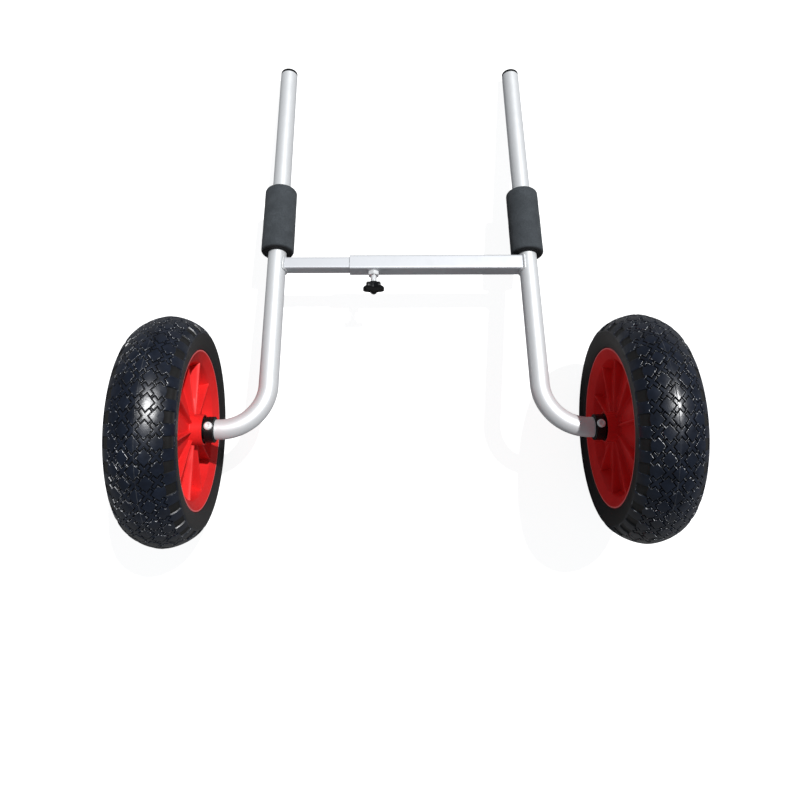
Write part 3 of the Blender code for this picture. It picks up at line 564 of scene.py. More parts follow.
# Posts
postTube = {"x": 0.1725, "length": 0.573, "radius": 0.0125, "wall": 0.002, "bend": 0.057,
            "straight": 0.0045, "capRoom": 0.0043, "edge": 0.0004, "sides": 56, "straightSteps": 24,
            "bendSteps": 28}
tubeEnd = postTube["x"] + postTube["bend"] + postTube["straight"]
boreRadius = postTube["radius"] - postTube["wall"]


# The left side is the right one mirrored
def onSide(side, point):
    return Vector((side * point.x, point.y, point.z))


# Each station is (x, s, heading, inset), from the top of the post round the bend to the axle
def addPostTube(prefix, side):
    postX, bend, edge = postTube["x"], postTube["bend"], postTube["edge"]
    top = postTube["length"] - postTube["capRoom"]
    stations = [(postX, top, 0.0, edge), (postX, top - edge, 0.0, 0.0)]
    for k in range(1, postTube["straightSteps"]):
        stations.append((postX, top - (top - bend) * k / postTube["straightSteps"], 0.0, 0.0))
    for k in range(postTube["bendSteps"] + 1):
        angle = math.pi / 2 * k / postTube["bendSteps"]
        x, s = postX + bend * (1 - math.cos(angle)), bend * (1 - math.sin(angle))
        stations.append((x, s, angle, 0.0))
    stations += [(tubeEnd - edge, 0.0, math.pi / 2, 0.0), (tubeEnd, 0.0, math.pi / 2, edge)]
    rings = []
    for radius, way in ((postTube["radius"], 1), (boreRadius, -1)):
        for x, s, angle, inset in stations[::way]:
            across = Vector((math.cos(angle), math.sin(angle), 0))
            ring = []
            for a, b in arc((0, 0), radius - way * inset, 0, 360, postTube["sides"])[:-1]:
                ring.append(onSide(side, Vector((x, s, b)) + a * across))
            rings.append(ring)
    addPiece(prefix + "PostTube", skin(rings), cartMatrix, postAluminium, prefix + "_frame")


# A piece turned about the post's own axis, with its profile measured along the post
def postPlace(side, s):
    turn = Matrix.Rotation(math.pi / 2, 4, "Z")
    return cartMatrix @ Matrix.Translation((side * postTube["x"], s, 0)) @ turn


plugTip = {"lead": 0.0045, "taper": 0.0008, "round": 0.001}      # where a plug enters its tube
endCap = {"thick": 0.0040, "edge": 0.0009, "plug": 0.013, "wall": 0.0022}


def addEndCap(prefix, side):
    plug, radius = boreRadius - touchGap, postTube["radius"]
    thick, depth = endCap["thick"], endCap["plug"]
    hollow = plug - endCap["wall"]
    corners = [(-thick, 0, 0), (-thick, hollow, smallRound), (-depth, hollow, fineRound),
               (-depth, plug - plugTip["taper"], fineRound),
               (plugTip["lead"] - depth, plug, plugTip["round"]), (0, plug, 0),
               (0, radius, fineRound), (thick, radius, endCap["edge"]), (thick, 0, 0)]
    addPiece(prefix + "PostEndCap", turnedShape(corners, 56, closed=False),
             postPlace(side, postTube["length"] - thick), blackPlastic, prefix + "_frame")


foamSleeve = {"start": {1: 0.2462, -1: 0.2500}, "length": 0.102, "radius": 0.0225,
              "rounding": 0.0045, "waver": 0.00022, "waves": (55, 190),
              "gripSkin": 0.0005, "pressFrom": 0.004, "steps": 40, "sides": 88}


# The foam is pressed in a little, here more and there less, except where it grips the post
def addFoamSleeve(prefix, side):
    length, radius, rounding = foamSleeve["length"], foamSleeve["radius"], foamSleeve["rounding"]
    steps, (broad, fine) = foamSleeve["steps"], foamSleeve["waves"]
    inner = postTube["radius"] + touchGap
    flat = [(rounding + (length - 2 * rounding) * k / steps, radius) for k in range(1, steps)]
    profile = [(0.0, inner), *arc((rounding, radius - rounding), rounding, 180, 90, 12), *flat,
               *arc((length - rounding, radius - rounding), rounding, 90, 0, 12), (length, inner)]
    bm = skin(turnedRings(profile, foamSleeve["sides"]))
    for vert in bm.verts:
        away = math.hypot(vert.co.y, vert.co.z)
        if away < inner + foamSleeve["gripSkin"]:
            continue
        sway = noise.noise(vert.co * broad + Vector((side * 7, 0, 0)))
        sway += 0.5 * noise.noise(vert.co * fine + Vector((0, side * 5, 0)))
        press = foamSleeve["waver"] * (1 + sway) * min(1.0, (away - inner) / foamSleeve["pressFrom"])
        vert.co.y *= 1 - press / away
        vert.co.z *= 1 - press / away
    piece = addPiece(prefix + "FoamSleeve", bm, postPlace(side, foamSleeve["start"][side]), greyFoam,
                     prefix + "_frame", 50)


for prefix, side in bothSides:
    addPostTube(prefix, side)
    addEndCap(prefix, side)
    addFoamSleeve(prefix, side)
print("posts, caps and foam sleeves made")


# Crossbar
crossbar = {"height": 0.2315, "half": 0.0105, "wall": 0.0016, "freeEnd": -0.0726, "corner": 0.0022,
            "edge": 0.0003, "innerHalf": 0.0085, "innerWall": 0.0015, "innerEnd": 0.068,
            "innerBend": 0.4, "stations": (0.06, 0.25, 0.5, 0.75, 0.96)}
crossbarPlace = cartMatrix @ Matrix.Translation((0, crossbar["height"], 0))


# Points round a rounded square, as (s, n), with extra points along the flats
def squareRing(half, corner, flatSteps=10, cornerSteps=7):
    middle = half - corner
    arcs = []
    for quarter, centre in enumerate(((1, 1), (-1, 1), (-1, -1), (1, -1))):
        arcs.append(arc((middle * centre[0], middle * centre[1]), corner, 90 * quarter,
                        90 * quarter + 90, cornerSteps))
    ring = []
    for here, following in zip(arcs, arcs[1:] + arcs[:1]):
        last, end = Vector(here[-1]), Vector(following[0])
        ring += here + [tuple(last.lerp(end, k / flatSteps)) for k in range(1, flatSteps)]
    return ring


# Where a bar that is coped to the round post meets it
def copedX(n):
    return postTube["x"] - math.sqrt((postTube["radius"] + touchGap) ** 2 - n * n)


def addCrossbar(name, side, half, wall, freeEnd):
    corner, edge = crossbar["corner"], crossbar["edge"]
    start = side * copedX(0)
    rings = []
    innerCorner = corner - crossbar["innerBend"] * wall
    for size, bend, way in ((half, corner, 1), (half - wall, innerCorner, -1)):
        section = squareRing(size, bend)
        row = [[Vector((side * copedX(n), s, n)) for s, n in section]]
        plain = [start + (freeEnd - start) * t for t in crossbar["stations"]]
        row += [[Vector((x, s, n)) for s, n in section] for x in [*plain, freeEnd + side * edge]]
        section = squareRing(size - way * edge, bend - way * edge)
        row.append([Vector((freeEnd, s, n)) for s, n in section])
        rings += row[::way]
    body = "right_frame" if side == 1 else "left_frame"
    return addPiece(name, skin(rings), crossbarPlace, barAluminium, body, 40)


weldBead = {"radius": 0.0025, "ripple": 0.00022, "pitch": 0.0017, "perRipple": 6, "wander": 0.00015,
            "wanderPitch": 0.05, "lowest": 1.6, "deepest": 0.0112, "root": (0.0006, 0.0008),
            "arc": (-24, 114), "arcSteps": 10}


# The bead is a row of small overlapping ripples in the corner between bar and post
def addWeldBead(prefix, side, half):
    rootAside, rootDown = weldBead["root"]
    section = squareRing(half + touchGap, crossbar["corner"] + touchGap, 14, 6)
    points = [Vector((0, s, n)) for s, n in section]
    lengths = [(after - here).length for here, after in zip(points, points[1:] + points[:1])]
    total = sum(lengths)
    count = round(total / weldBead["pitch"]) * weldBead["perRipple"]
    rings = []
    for k in range(count):
        distance = total * k / count
        i = 0
        while distance > lengths[i]:
            distance -= lengths[i]
            i += 1
        spot = points[i].lerp(points[(i + 1) % len(points)], distance / lengths[i])
        outward = spot.normalized()
        phase = (k % weldBead["perRipple"]) / weldBead["perRipple"]
        swell = math.sqrt(abs(math.sin(math.pi * phase)))
        wander = noise.noise(Vector((k * weldBead["wanderPitch"], side * 3, 0)))
        radius = (weldBead["radius"] - weldBead["ripple"] * (weldBead["lowest"] - swell)
                  + weldBead["wander"] * wander)
        corner = Vector((copedX(min(abs(spot.z), weldBead["deepest"])), spot.y, spot.z))
        ring = [corner - Vector((a, 0, 0)) + outward * b
                for a, b in arc((0, 0), radius, *weldBead["arc"], weldBead["arcSteps"])]
        ring.append(corner + Vector((rootAside, 0, 0)) - outward * rootDown)
        rings.append([onSide(side, point) for point in ring])
    addPiece(prefix + "WeldBead", skin(rings), crossbarPlace, weldMetal, prefix + "_frame", 60)


outerBar = addCrossbar("outerCrossbar", 1, crossbar["half"], crossbar["wall"], crossbar["freeEnd"])
addCrossbar("innerCrossbar", -1, crossbar["innerHalf"], crossbar["innerWall"], crossbar["innerEnd"])
addWeldBead("right", 1, crossbar["half"])
addWeldBead("left", -1, crossbar["innerHalf"])
print("crossbar and welds made")


# Clamp: its X axis points from the bar's lower face to the knob
clamp = {"x": -0.040, "nutWidth": 0.0135, "nutHeight": 0.006, "stem": 0.0104, "screwRadius": 0.004,
         "pitch": 0.00125, "threadDepth": 0.00055, "threadWidth": 0.42, "lead": 0.0012, "perTurn": 10,
         "grip": 0.008, "padRadius": 0.0034, "padLength": 0.0023, "studRadius": 0.0015,
         "studLength": 0.002, "studRound": 0.0002, "tip": 0.0017, "leadTaper": 0.0007,
         "drillBelow": 0.003, "drillWalls": 1.6}
lowerFace = crossbar["height"] - crossbar["half"]
clampPlace = (cartMatrix @ Matrix.Translation((clamp["x"], lowerFace, 0))
              @ Matrix.Rotation(-math.pi / 2, 4, "Z"))
knobStart = touchGap + clamp["nutHeight"] + clamp["stem"]


def hexagonRadius(width, angle):
    return width / 2 / math.cos((angle + math.pi / 6) % (math.pi / 3) - math.pi / 6)


nutShape = {"sink": 0.0005, "chamferMore": 0.0002, "slope": 0.55, "neck": 0.42, "neckTop": 0.36,
            "neckStraight": 0.6}


# A hexagon nut: a prism cut by a cone at both ends, with a countersunk bore
def nutRings(width, height, bore, sides=72, neck=0.0):
    corner = width / 2 / math.cos(math.pi / 6)
    chamfer = corner - width / 2 + nutShape["chamferMore"]
    slant = chamfer * nutShape["slope"]
    sink = nutShape["sink"]
    rings = turnedRings([(0, bore + sink)], sides)
    for along in (0, slant * 0.5, slant, height - slant, height - slant * 0.5, height):
        cone = corner - max(0.0, (slant - min(along, height - along)) / slant) * chamfer
        rings += turnedRings([(along, cone)], sides,
                             lambda along, radius, angle: min(radius, hexagonRadius(width, angle)))
    if neck:
        straight, radius = height + neck * nutShape["neckStraight"], width * nutShape["neck"]
        rings += turnedRings([(height, radius), (straight, radius),
                              (height + neck, width * nutShape["neckTop"])], sides)
    top = height + neck
    return rings + turnedRings([(top, bore + sink), (top - sink, bore), (sink, bore)], sides)


def addClampNut():
    rings = nutRings(clamp["nutWidth"], clamp["nutHeight"], clamp["screwRadius"] + touchGap)
    addPiece("clampNut", skin(rings), clampPlace @ Matrix.Translation((touchGap, 0, 0)), platedSteel,
             "right_frame", 25)


def addClampPad():
    start = -clamp["tip"]
    stud = start + clamp["padLength"]
    end = stud + clamp["studLength"]
    pad, neck = clamp["padRadius"], clamp["studRadius"]
    corners = [(start, 0, 0), (start, pad, softRound), (stud, pad, smallRound),
               (stud, neck, clamp["studRound"]), (end, neck, smallRound), (end, 0, 0)]
    addPiece("clampPad", turnedShape(corners, 40, closed=False), clampPlace, blackPlastic, "clamp_pad")


# The thread is cut into the shank as one true helix
def addClampScrew():
    start = clamp["padLength"] - clamp["tip"] + touchGap
    end = knobStart + clamp["grip"]
    steps = round((end - start) / clamp["pitch"] * clamp["perTurn"])

    def thread(along, size, angle):
        turn = (along / clamp["pitch"] - angle / math.tau) % 1.0
        cut = max(0.0, 1 - abs(turn - 0.5) / clamp["threadWidth"])
        lead = min(1.0, (along - start) / clamp["lead"])
        return size - clamp["threadDepth"] * cut - clamp["leadTaper"] * (1 - lead)

    socket = clamp["studRadius"] + touchGap
    deep = start + clamp["studLength"] + touchGap
    rings = turnedRings([(deep, 0), (deep, socket), (start, socket)], 40)
    shank = [(start + (end - start) * k / steps, clamp["screwRadius"]) for k in range(steps + 1)]
    rings += turnedRings(shank, 40, thread) + turnedRings([(end, 0)], 40)
    addPiece("clampScrew", skin(rings, looped=False), clampPlace, platedSteel, "clamp_knob", 40)


knob = {"radius": 0.015, "height": 0.0115, "hubRadius": 0.0065, "hubHeight": 0.0035, "lobes": 5,
        "lobeDepth": 0.0055, "valleyPower": 0.8, "edge": 0.0024, "turn": -18, "sides": 160,
        "underRise": 0.0006, "topRise": 0.0004, "hubRound": 0.0012, "topRound": 0.0010,
        "dish": 0.0007, "dishStart": 0.0014, "dishEnd": 0.0008}


def addClampKnob():
    bore = clamp["screwRadius"] + touchGap
    boreEnd = clamp["grip"] + touchGap
    full, hub, edge = knob["radius"], knob["hubRadius"], knob["edge"]
    height, hubHeight, dish = knob["height"], knob["hubHeight"], knob["dish"]

    def lobed(along, size, angle):
        share = max(0.0, (size - hub) / (full - hub))
        valley = 0.5 - 0.5 * math.cos(knob["lobes"] * (angle - math.radians(knob["turn"])))
        return size - knob["lobeDepth"] * share * valley ** knob["valleyPower"]

    inside = [(boreEnd, 0, 0), (boreEnd, bore, fineRound), (0, bore, 0)]
    outside = [(0, bore, 0), (0, hub, softRound), (hubHeight, hub, knob["hubRound"]),
               (hubHeight + knob["underRise"], full, edge), (height - knob["topRise"], full, edge),
               (height, hub + knob["dishStart"], knob["topRound"]),
               (height - dish, hub + knob["dishEnd"], smallRound), (height - dish, 0, 0)]
    rings = turnedRings(roundedProfile(inside, closed=False), knob["sides"])
    rings += turnedRings(roundedProfile(outside, closed=False)[1:], knob["sides"], lobed)
    addPiece("clampKnob", skin(rings, looped=False),
             clampPlace @ Matrix.Translation((knobStart, 0, 0)), blackPlastic, "clamp_knob", 40)


drillHole(outerBar, (clamp["x"], lowerFace - clamp["drillBelow"], 0),
          (clamp["x"], lowerFace + clamp["drillWalls"] * crossbar["wall"], 0),
          clamp["screwRadius"] + touchGap)
addClampNut()
addClampPad()
addClampScrew()
addClampKnob()
print("clamp made")


# Axle and its fastening: collar, screw and nut, then spacer, wheel, washer and split pin
collar = {"radius": 0.016, "length": 0.0113, "flat": 0.0150, "plug": 0.009, "bore": 0.0063,
          "innerEdge": 0.0006, "edge": 0.0009}
hubRing = {"spacerRadius": 0.0115, "spacerLength": 0.003, "washerRadius": 0.012, "washerThick": 0.0012}
bush = {"bore": 0.0063, "mouth": 0.0006, "wall": 0.0027, "flange": 0.002, "flangeRadius": 0.0167,
        "length": 0.020}
rim = {"lip": 0.0986, "half": 0.0348, "lipThick": 0.0025, "lipHeight": 0.0016, "wall": 0.0028,
       "mouth": 0.085, "root": 0.080, "flare": 0.0063, "hub": 0.019, "hubIn": 0.040, "hubOut": 0.026,
       "recessIn": 0.0043, "recessOut": 0.0023, "recess": 0.017, "webThick": 0.004,
       "webHub": 0.0249, "webBarrel": 0.0156, "ribs": 10, "ribIn": 0.0285, "ribOut": 0.022,
       "ribThick": 0.0032, "ribEdge": 0.0022, "ribSteps": 14, "fillet": 0.0022, "mouthRound": 0.0040,
       "wallRound": 0.0030, "hubRound": 0.0008, "lipRounds": (0.0008, 0.0007, 0.0006),
       "turn": {1: 28.5, -1: 7.5}}
wheelX = wheelCentre.x
collarStart = tubeEnd + touchGap
screwX = collarStart + collar["length"] / 2
spacerStart = collarStart + collar["length"] + touchGap
innerFlange = spacerStart + hubRing["spacerLength"] + touchGap
outerFlange = wheelX + rim["hubOut"] - rim["recessOut"] + touchGap + bush["flange"]
washerStart = outerFlange + touchGap


def sidePlace(side, x):
    return cartMatrix @ Matrix.Translation((side * x, 0, 0)) @ Matrix.Diagonal((side, 1, 1, 1))


# A place whose X axis stands square on the cart's plane, for screws and nuts through the collar
def squarePlace(side, x, n, up=1):
    turn = Matrix.Rotation(-up * math.pi / 2, 4, "Y")
    return cartMatrix @ Matrix.Translation((side * x, 0, n)) @ turn


def addAxleCollar(prefix, side):
    radius, length, bore, depth = collar["radius"], collar["length"], collar["bore"], collar["plug"]
    plug = boreRadius - touchGap
    corners = [(-depth, bore, fineRound), (-depth, plug - plugTip["taper"], smallRound),
               (plugTip["lead"] - depth, plug, plugTip["round"]), (0, plug, 0),
               (0, radius, collar["innerEdge"]), (length, radius, collar["edge"]),
               (length, bore, softRound)]
    bm = turnedShape(corners, 96)
    for vert in bm.verts:
        vert.co.z = max(-collar["flat"], min(collar["flat"], vert.co.z))
    addPiece(prefix + "AxleCollar", bm, sidePlace(side, collarStart), blackPlastic,
             prefix + "_frame", 28)


axle = {"radius": 0.006, "inside": 0.020, "past": 0.036, "chamfer": 0.001}
splitPin = {"wire": 0.0007, "eye": 0.0024, "eyeArc": (-59, 239), "x": 0.3179, "hole": 0.0021,
            "reach": 0.009, "eyeRise": 0.0012, "apart": 0.00015,
            "leg": [(0.0060, -0.0066), (0.0032, -0.0072), (0.0012, -0.0066)],
            "kinks": (-0.0048, 0.0, 0.0062)}


def addStubAxle(prefix, side):
    start, end = tubeEnd - axle["inside"], wheelX + axle["past"]
    radius, chamfer = axle["radius"], axle["chamfer"]
    corners = [(start, 0, 0), (start, radius, softRound), (end - chamfer, radius, fineRound),
               (end, radius - chamfer, fineRound), (end, 0, 0)]
    piece = addPiece(prefix + "StubAxle", turnedShape(corners, 56, closed=False, steps=3),
                     sidePlace(side, 0), platedSteel, prefix + "_frame")
    pinX, reach = side * splitPin["x"], splitPin["reach"]
    drillHole(piece, (pinX, 0, -reach), (pinX, 0, reach), splitPin["hole"])


collarScrew = {"radius": 0.003, "headRadius": 0.00525, "headHeight": 0.0033, "socket": 0.0044,
               "socketDepth": 0.0018, "socketRim": 1.22, "headEdge": 0.0009, "nutWidth": 0.010,
               "nutHeight": 0.0046, "nutNeck": 0.0014, "past": 0.001,
               "drillTip": 0.0005, "rimRise": 0.0002, "headRound": 0.0006, "underHead": 0.0003,
               "endChamfer": 0.0006}


# A domed head with a hexagon socket; the dome falls from the socket's rim to the head's edge
def addCollarScrew(prefix, side):
    seat = collar["flat"] + touchGap
    top = seat + collarScrew["headHeight"]
    head, shank = collarScrew["headRadius"], collarScrew["radius"]
    socket = collarScrew["socket"] / 2
    socketRim = socket * collarScrew["socketRim"]
    socketEnd = top - collarScrew["socketDepth"]
    sides = 48
    rings = turnedRings([(socketEnd - collarScrew["drillTip"], 0)], sides)
    rings += turnedRings([(socketEnd, socket), (top - collarScrew["rimRise"], socket)], sides,
                         lambda along, radius, angle: hexagonRadius(2 * radius, angle))
    rings += turnedRings([(top, socketRim)], sides)
    edge = seat + collarScrew["headEdge"]
    dome = [(edge + (top - edge) * a, socketRim + (head - socketRim) * b)
            for b, a in arc((0, 0), 1, 81, 18, 7)]
    end = -seat - collarScrew["nutHeight"] - collarScrew["nutNeck"] - collarScrew["past"]
    chamfer = collarScrew["endChamfer"]
    rings += turnedRings(dome + [(seat + collarScrew["headRound"], head),
                                 (seat, head - collarScrew["underHead"]), (seat, shank),
                                 (end + chamfer, shank), (end, shank - chamfer), (end, 0)], sides)
    addPiece(prefix + "CollarScrew", skin(rings, looped=False), squarePlace(side, screwX, 0),
             platedSteel, prefix + "_frame", 28)


def addCollarNut(prefix, side):
    rings = nutRings(collarScrew["nutWidth"], collarScrew["nutHeight"],
                     collarScrew["radius"] + touchGap, neck=collarScrew["nutNeck"])
    addPiece(prefix + "CollarLockNut", skin(rings),
             squarePlace(side, screwX, -collar["flat"] - touchGap, -1), platedSteel,
             prefix + "_frame", 25)


def addRing(name, side, start, length, radius, material, body):
    bore = collar["bore"]
    corners = [(0, bore, fineRound), (0, radius, smallRound), (length, radius, smallRound),
               (length, bore, fineRound)]
    addPiece(name, turnedShape(corners, 64, steps=3), sidePlace(side, start), material, body)


# Frames of (place, across, up) along a smooth line through the points, for a wire
def smoothFrames(points, up, perSpan):
    line = []
    for i in range(len(points) - 1):
        p0, p1, p2 = points[max(i - 1, 0)], points[i], points[i + 1]
        p3 = points[min(i + 2, len(points) - 1)]
        for k in range(perSpan):
            t = k / perSpan
            line.append(0.5 * (2 * p1 + (p2 - p0) * t + (2 * p0 - 5 * p1 + 4 * p2 - p3) * t * t
                               + (3 * p1 - p0 - 3 * p2 + p3) * t ** 3))
    line.append(points[-1])
    frames = []
    for i, place in enumerate(line):
        heading = (line[min(i + 1, len(line) - 1)] - line[max(i - 1, 0)]).normalized()
        across = heading.cross(up).normalized()
        frames.append((place, across, across.cross(heading)))
    return frames


# One wire: up through the axle, round its eye, down again, with both legs bent apart
def addSplitPin(prefix, side):
    wire, eye = splitPin["wire"], splitPin["eye"]
    spread = wire + splitPin["apart"]
    eyeHeight = axle["radius"] + wire + eye + splitPin["eyeRise"]
    leg = splitPin["leg"] + [(spread, n) for n in splitPin["kinks"]]
    outline = (leg + arc((0, eyeHeight), eye, *splitPin["eyeArc"], 12)
               + [(-s, n) for s, n in reversed(leg)])
    frames = smoothFrames([Vector((0, s, n)) for s, n in outline], Vector((1, 0, 0)), 5)
    section = arc((0, 0), wire, 0, 360, 14)[:-1]
    rings = [[place + across * a + up * b for a, b in section] for place, across, up in frames]
    addPiece(prefix + "SplitPin", skin(rings, looped=False), sidePlace(side, splitPin["x"]),
             platedSteel, prefix + "_frame", 50)


def addBush(name, side, start, direction, body):
    bore, edge, length = bush["bore"], bush["flangeRadius"], direction * bush["length"]
    sleeve, flange = bore + bush["wall"], direction * bush["flange"]
    corners = [(0, bore, bush["mouth"]), (0, edge, softRound), (flange, edge, fineRound),
               (flange, sleeve, fineRound), (length, sleeve, smallRound), (length, bore, fineRound)]
    addPiece(name, turnedShape(corners, 64, steps=3), sidePlace(side, start), blackPlastic, body)


for prefix, side in bothSides:
    addAxleCollar(prefix, side)
    addStubAxle(prefix, side)
    addCollarScrew(prefix, side)
    addCollarNut(prefix, side)
    addRing(prefix + "HubSpacer", side, spacerStart, hubRing["spacerLength"],
            hubRing["spacerRadius"], blackPlastic, prefix + "_frame")
    addRing(prefix + "HubWasher", side, washerStart, hubRing["washerThick"],
            hubRing["washerRadius"], platedSteel, prefix + "_frame")
    addSplitPin(prefix, side)
    addBush(prefix + "InnerBush", side, innerFlange, 1, prefix + "_wheel")
    addBush(prefix + "OuterBush", side, outerFlange, -1, prefix + "_wheel")
print("axles and fastenings made")


# Wheels: all their profiles run on u, from the middle of the wheel towards the cart
def wheelPlace(side, degrees):
    return (cartMatrix @ Matrix.Translation((side * wheelX, 0, 0))
            @ Matrix.Rotation(math.radians(degrees), 4, "X") @ Matrix.Diagonal((-side, 1, 1, 1)))


# The inside of the barrel runs from lip to lip and is narrowest at the web
def barrelInside():
    half, edge = rim["half"], rim["lip"] - rim["lipHeight"]
    return [Vector((half, edge)), Vector((half - rim["flare"], rim["mouth"])),
            Vector((rim["webBarrel"] - rim["webThick"] / 2, rim["root"])),
            Vector((rim["flare"] - half, rim["mouth"])), Vector((-half, edge))]


def barrelOutside(distance):
    inside = barrelInside()
    corners = []
    for before, corner, after in zip(inside, inside[1:], inside[2:]):
        first = (before - corner).orthogonal().normalized()
        second = (corner - after).orthogonal().normalized()
        corners.append(corner + (first + second) * distance / (1 + first.dot(second)))
    return corners


def barrelRadius(u):
    inside = barrelInside()
    for high, low in zip(inside, inside[1:]):
        if high.x >= u >= low.x:
            return low.y + (high.y - low.y) * (u - low.x) / (high.x - low.x)


def addRim(prefix, side):
    half, lip, hub, root, recess = (rim[key] for key in ("half", "lip", "hub", "root", "recess"))
    edge, bore = lip - rim["lipHeight"], bush["bore"] + bush["wall"] + touchGap
    hubIn, hubOut, thick = rim["hubIn"], rim["hubOut"], rim["webThick"]
    seatIn, seatOut = hubIn - rim["recessIn"], rim["recessOut"] - hubOut
    fillet, hubRound, mouth = rim["fillet"], rim["hubRound"], rim["mouth"]
    inRound, outRound, backRound = rim["lipRounds"]
    corners = [(hubIn, recess, smallRound), (hubIn, hub, hubRound), (rim["webHub"], hub, fillet),
               (rim["webBarrel"], root, fillet), (half - rim["flare"], mouth, rim["mouthRound"]),
               (half, edge, inRound), (half, lip, outRound), (half - rim["lipThick"], lip, backRound)]
    corners += [(u, radius, rim["wallRound"]) for u, radius in barrelOutside(rim["wall"])]
    corners += [(rim["lipThick"] - half, lip, backRound), (-half, lip, outRound),
                (-half, edge, inRound), (rim["flare"] - half, mouth, rim["mouthRound"]),
                (rim["webBarrel"] - thick, root, fillet), (rim["webHub"] - thick, hub, fillet),
                (-hubOut, hub, hubRound), (-hubOut, recess, smallRound)]
    corners += [(u, radius, fineRound) for u, radius in ((seatOut, recess), (seatOut, bore),
                                                         (seatIn, bore), (seatIn, recess))]
    bm = turnedShape(corners, 144)
    for i in range(rim["ribs"]):
        for way in (1, -1):
            addRib(bm, math.tau * i / rim["ribs"], way)
    addPiece(prefix + "Rim", bm, wheelPlace(side, rim["turn"][side]), redPlastic, prefix + "_wheel")


ribShape = {"foot": ((-0.001, 0.0014), (0.0003, 0.0009)), "waist": 0.0012, "waistShare": 0.4,
            "waistMore": 0.0001, "middle": 0.6, "taper": 0.4, "least": 0.001, "sunk": 0.004,
            "edge": ((0.0010, 0.0), (0.0004, 0.0003), (0.0, 0.0009))}


# A rib is thickest at the web, with a small fillet there, and thins out to a rounded free edge
def addRib(bm, angle, way):
    outward = Vector((0, math.cos(angle), math.sin(angle)))
    sideways = Vector((0, -math.sin(angle), math.cos(angle)))
    start, end = rim["hub"] - ribShape["sunk"], rim["root"] + rim["wall"] / 2
    thick, thin = rim["ribThick"] / 2, rim["ribEdge"] / 2
    free = rim["ribIn"] if way == 1 else rim["ribOut"]
    rings = []
    for k in range(rim["ribSteps"] + 1):
        t = k / rim["ribSteps"]
        radius = start + (end - start) * t
        share = min(1.0, max(0.0, (radius - rim["hub"]) / (rim["root"] - rim["hub"])))
        web = rim["webHub"] + (rim["webBarrel"] - rim["webHub"]) * share
        if way == -1:
            web = rim["webThick"] - web
        height = max(free - web, ribShape["least"])
        waist = min(ribShape["waist"], ribShape["waistShare"] * height)
        foot = (*ribShape["foot"], (waist, ribShape["waistMore"]))
        section = [(web + up, thick + more) for up, more in foot]
        section.append((web + ribShape["middle"] * height, thin + (thick - thin) * ribShape["taper"]))
        section += [(free - down, thin - less) for down, less in ribShape["edge"]]
        places = []
        for u, width in section:
            reach = start + (barrelRadius(way * u) + rim["wall"] / 2 - start) * t
            places.append((Vector((way * u, 0, 0)) + reach * outward, width * sideways))
        rings.append([place + aside for place, aside in places]
                     + [place - aside for place, aside in reversed(places)])
    rib = skin(rings, looped=False)
    bmesh.ops.recalc_face_normals(rib, faces=rib.faces)
    mesh = bpy.data.meshes.new("rib")
    rib.to_mesh(mesh)
    rib.free()
    bm.from_mesh(mesh)
    bpy.data.meshes.remove(mesh)


tyre = {"radius": 0.1404, "half": 0.0388, "waist": 0.1182, "power": 1.63, "crownSteps": 400,
        "crownStep": 0.0002, "count": 30, "rowStep": 0.0120, "rows": 2, "armHalf": 0.00307,
        "armReach": 0.00905, "wall": 0.00025, "moat": 0.00080, "moatDepth": 0.0022,
        "bevel": 0.0006, "edgeDrop": 0.00014, "islandBevel": 0.00035, "islandDrop": 0.00035,
        "turn": {1: 1.2, -1: 10.3},
        "flank": [(0.0388, 0.1182), (0.0387, 0.1155), (0.0383, 0.1118), (0.0377, 0.1080),
                  (0.0370, 0.1045), (0.0368, 0.1040), (0.0366, 0.1036), (0.0359, 0.1010),
                  (0.0353, 0.0996), (0.0345, 0.0990), (0.0320, 0.0989)]}
# Past the outer blocks lies one dark pocket for each, between arms of plain rubber. Its rows
# are counted in row steps, and its columns in half blocks from its middle.
shoulder = {"blockEnd": 2.65, "blockCurve": 0.15, "pocketDepth": 0.0016, "pocketRows": (3.12, 3.42),
            "pocketEnd": 0.0443, "pocketEndShare": 0.9, "end": 0.0452, "halfWidth": 0.5,
            "blockRound": 0.033, "wall": 0.025, "armShares": (0.12, 0.18, 0.26), "armEdge": 0.04,
            "plainColumns": (0.32, 0.68),
            "wallColumns": ((0.404, -0.05), (0.423, -0.03), (0.577, 0.03), (0.596, 0.05))}
columns = 2 * tyre["count"]


# The crown from the middle of the tread to the waist, as (distance along it, u, radius)
def crownCurve():
    places = [(0.0, 0.0, tyre["radius"])]
    for i in range(1, tyre["crownSteps"] + 1):
        angle = math.pi / 2 * i / tyre["crownSteps"]
        u = tyre["half"] * math.sin(angle) ** (2 / tyre["power"])
        radius = (tyre["waist"] + (tyre["radius"] - tyre["waist"])
                  * abs(math.cos(angle)) ** (2 / tyre["power"]))
        distance, lastU, lastRadius = places[-1]
        places.append((distance + math.hypot(u - lastU, radius - lastRadius), u, radius))
    return places


crown = crownCurve()
crownSpots = {}


def crownPlace(distance):
    wanted = min(abs(distance), crown[-1][0])
    after = min(bisect.bisect_right(crown, (wanted, math.inf)), len(crown) - 1)
    (start, u, radius), (end, nextU, nextRadius) = crown[after - 1], crown[after]
    t = (wanted - start) / (end - start)
    return Vector((math.copysign(u + t * (nextU - u), distance), radius + t * (nextRadius - radius)))


# A place on the crown and the direction outward from it
def crownSpot(distance):
    key = round(distance * 1e7)
    if key not in crownSpots:
        step = tyre["crownStep"]
        along = crownPlace(distance + step) - crownPlace(distance - step)
        crownSpots[key] = (crownPlace(distance), Vector((-along.y, along.x)).normalized())
    return crownSpots[key]


